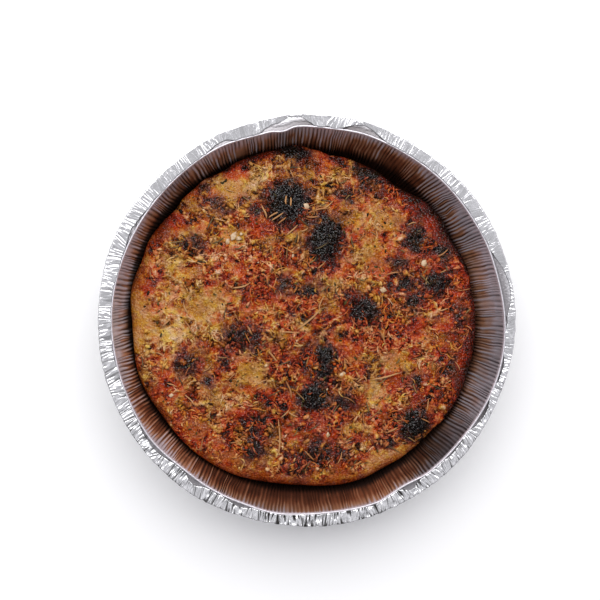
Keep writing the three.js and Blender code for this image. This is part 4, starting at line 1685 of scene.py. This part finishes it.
def make_rosemary():
    """The large needles lie where they do on the real loaf, the small ones where the crust is dark."""
    draw = np.random.default_rng(45)
    x, y = scatter(draw, SMALL_NEEDLES, brown_chance)
    rows = np.array(NEEDLES)
    large, small = len(rows), SMALL_NEEDLES
    x = np.concatenate([rows[:, 0], x])
    y = np.concatenate([rows[:, 1], y])
    length = np.concatenate([rows[:, 2], draw.uniform(*SMALL_LENGTHS, small)])
    facing = np.concatenate([np.radians(rows[:, 3]), draw.uniform(0, np.pi, small)])
    bend = np.concatenate([rows[:, 4], draw.uniform(-SMALL_BEND, SMALL_BEND, small)])
    thickness = draw.uniform(*NEEDLE_THICKNESSES, large)
    thickness = np.concatenate([thickness, draw.uniform(*SMALL_THICKNESSES, small)])
    levels = np.concatenate([draw.uniform(0.0, 0.3, large), draw.uniform(0.0, 0.85, small)])
    lift = np.concatenate([np.full(large, NEEDLE_LIFT), draw.uniform(*SMALL_LIFTS, small)])
    # Whole needles keep their waxy skin and look a little glossier than the flecks
    leaf = dry_leaf("dried_rosemary", ROSEMARY_COLOURS, 0.55, 0.35)
    name = "rosemary_needles"
    return make_strands(name, 46, x, y, length, facing, bend, thickness, leaf, levels, lift)


rosemary = make_rosemary()
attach(rosemary, "root")
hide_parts("focaccia")


# Pale bits
# A few thicker flakes of hard cheese, broken off and dropped on, and grains of coarse salt. They are
# flat chips that the oven left nearly white.

# The flakes that show best: x, y, length
PALE_BITS = [
    (-40.4, 46.8, 5.6),
    (-37.6, 45.4, 4.2),
    (-43.6, 43.8, 4.4),
    (-36.2, 48.0, 3.0),
    (-0.4, 62.7, 5.6),
    (-8.3, 35.9, 4.2),
    (41.3, 17.2, 5.4),
    (64.5, 32.1, 5.6),
    (19.3, -29.2, 5.0),
    (-75.0, -40.7, 4.0),
    (11.6, -63.2, 4.0),
]
SMALL_BITS = 14
SMALL_BIT_SIZES = (0.4, 0.8)
# Share of a chip's reach and height from its middle, from its sunken edge to its crown
CHIP_PROFILE = [(0.9, -0.9), (1.0, 0.25), (0.82, 0.55), (0.4, 0.65)]
CHIP_CROWN = 0.68
CHIP_DEPTH = 0.9
CHIP_LIFT = 0.15
CHEESE_MOTTLE = 1.5


def cheese_flake():
    """Hard cheese and coarse salt: cream with faint mottling, slightly waxy."""
    material, tree, surface = start_material("cheese_flake")
    place = add_node(tree, "ShaderNodeTexCoord").outputs["Object"]
    mottle = add_node(
        tree,
        "ShaderNodeTexNoise",
        {"Vector": place, "Scale": 1 / (CHEESE_MOTTLE * MM), "Detail": 2.0},
    )
    ramp = add_node(tree, "ShaderNodeValToRGB", {0: mottle.outputs[0]})
    colour_stops(ramp, [(0.35, "#A5825C"), (0.6, "#C4AA8A")])
    shader = add_node(
        tree,
        "ShaderNodeBsdfPrincipled",
        {"Base Color": ramp.outputs[0], "Roughness": 0.4, "Specular IOR Level": 0.5},
    )
    tree.links.new(shader.outputs[0], surface)
    return material


def make_pale_bits():
    """Flat chips with four to six uneven corners, tilted a little and half sunk in the crust."""
    draw = np.random.default_rng(47)
    x, y = scatter(draw, SMALL_BITS, golden_chance)
    rows = np.array(PALE_BITS)
    x = np.concatenate([rows[:, 0], x])
    y = np.concatenate([rows[:, 1], y])
    size = np.concatenate([rows[:, 2] / 2, draw.uniform(*SMALL_BIT_SIZES, SMALL_BITS)])
    points = []
    faces = []
    for cx, cy, half in zip(x, y, size):
        corners = draw.integers(4, 7)
        facing = 2 * np.pi * (np.arange(corners) + draw.uniform(-0.2, 0.2, corners)) / corners
        reach = half * draw.uniform(0.75, 1.2, corners)
        long_way = draw.uniform(0, np.pi)
        stretch = 1 - 0.4 * np.abs(np.sin(facing - long_way))
        tilt = draw.uniform(-0.25, 0.25, 2)
        here = (np.array([cx]), np.array([cy]))
        level = (crust_height(*here) + crumb_relief(*here))[0]
        rings = []
        for share, z in CHIP_PROFILE:
            px = reach * stretch * share * np.cos(facing)
            py = reach * stretch * share * np.sin(facing)
            pz = z * min(1.0, half) + tilt[0] * px + tilt[1] * py
            rings.append(np.stack([cx + px, cy + py, level + CHIP_LIFT + pz], axis=-1))
        start = sum(len(group) for group in points)
        top = np.array([[cx, cy, level + CHIP_LIFT + CHIP_CROWN * min(1.0, half)]])
        bottom = np.array([[cx, cy, level - CHIP_DEPTH]])
        points.append(np.concatenate(rings + [top, bottom]))
        around, following = neighbours(corners)
        crown = np.full(corners, 4 * corners)
        faces.append(start + bands(4, corners))
        faces.append(start + np.stack([3 * corners + around, 3 * corners + following, crown], axis=-1))
        faces.append(start + np.stack([following, around, crown + 1], axis=-1))
    return mesh_piece("pale_bits", np.concatenate(points), faces, cheese_flake())


pale_bits = make_pale_bits()
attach(pale_bits, "root")
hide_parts("focaccia")
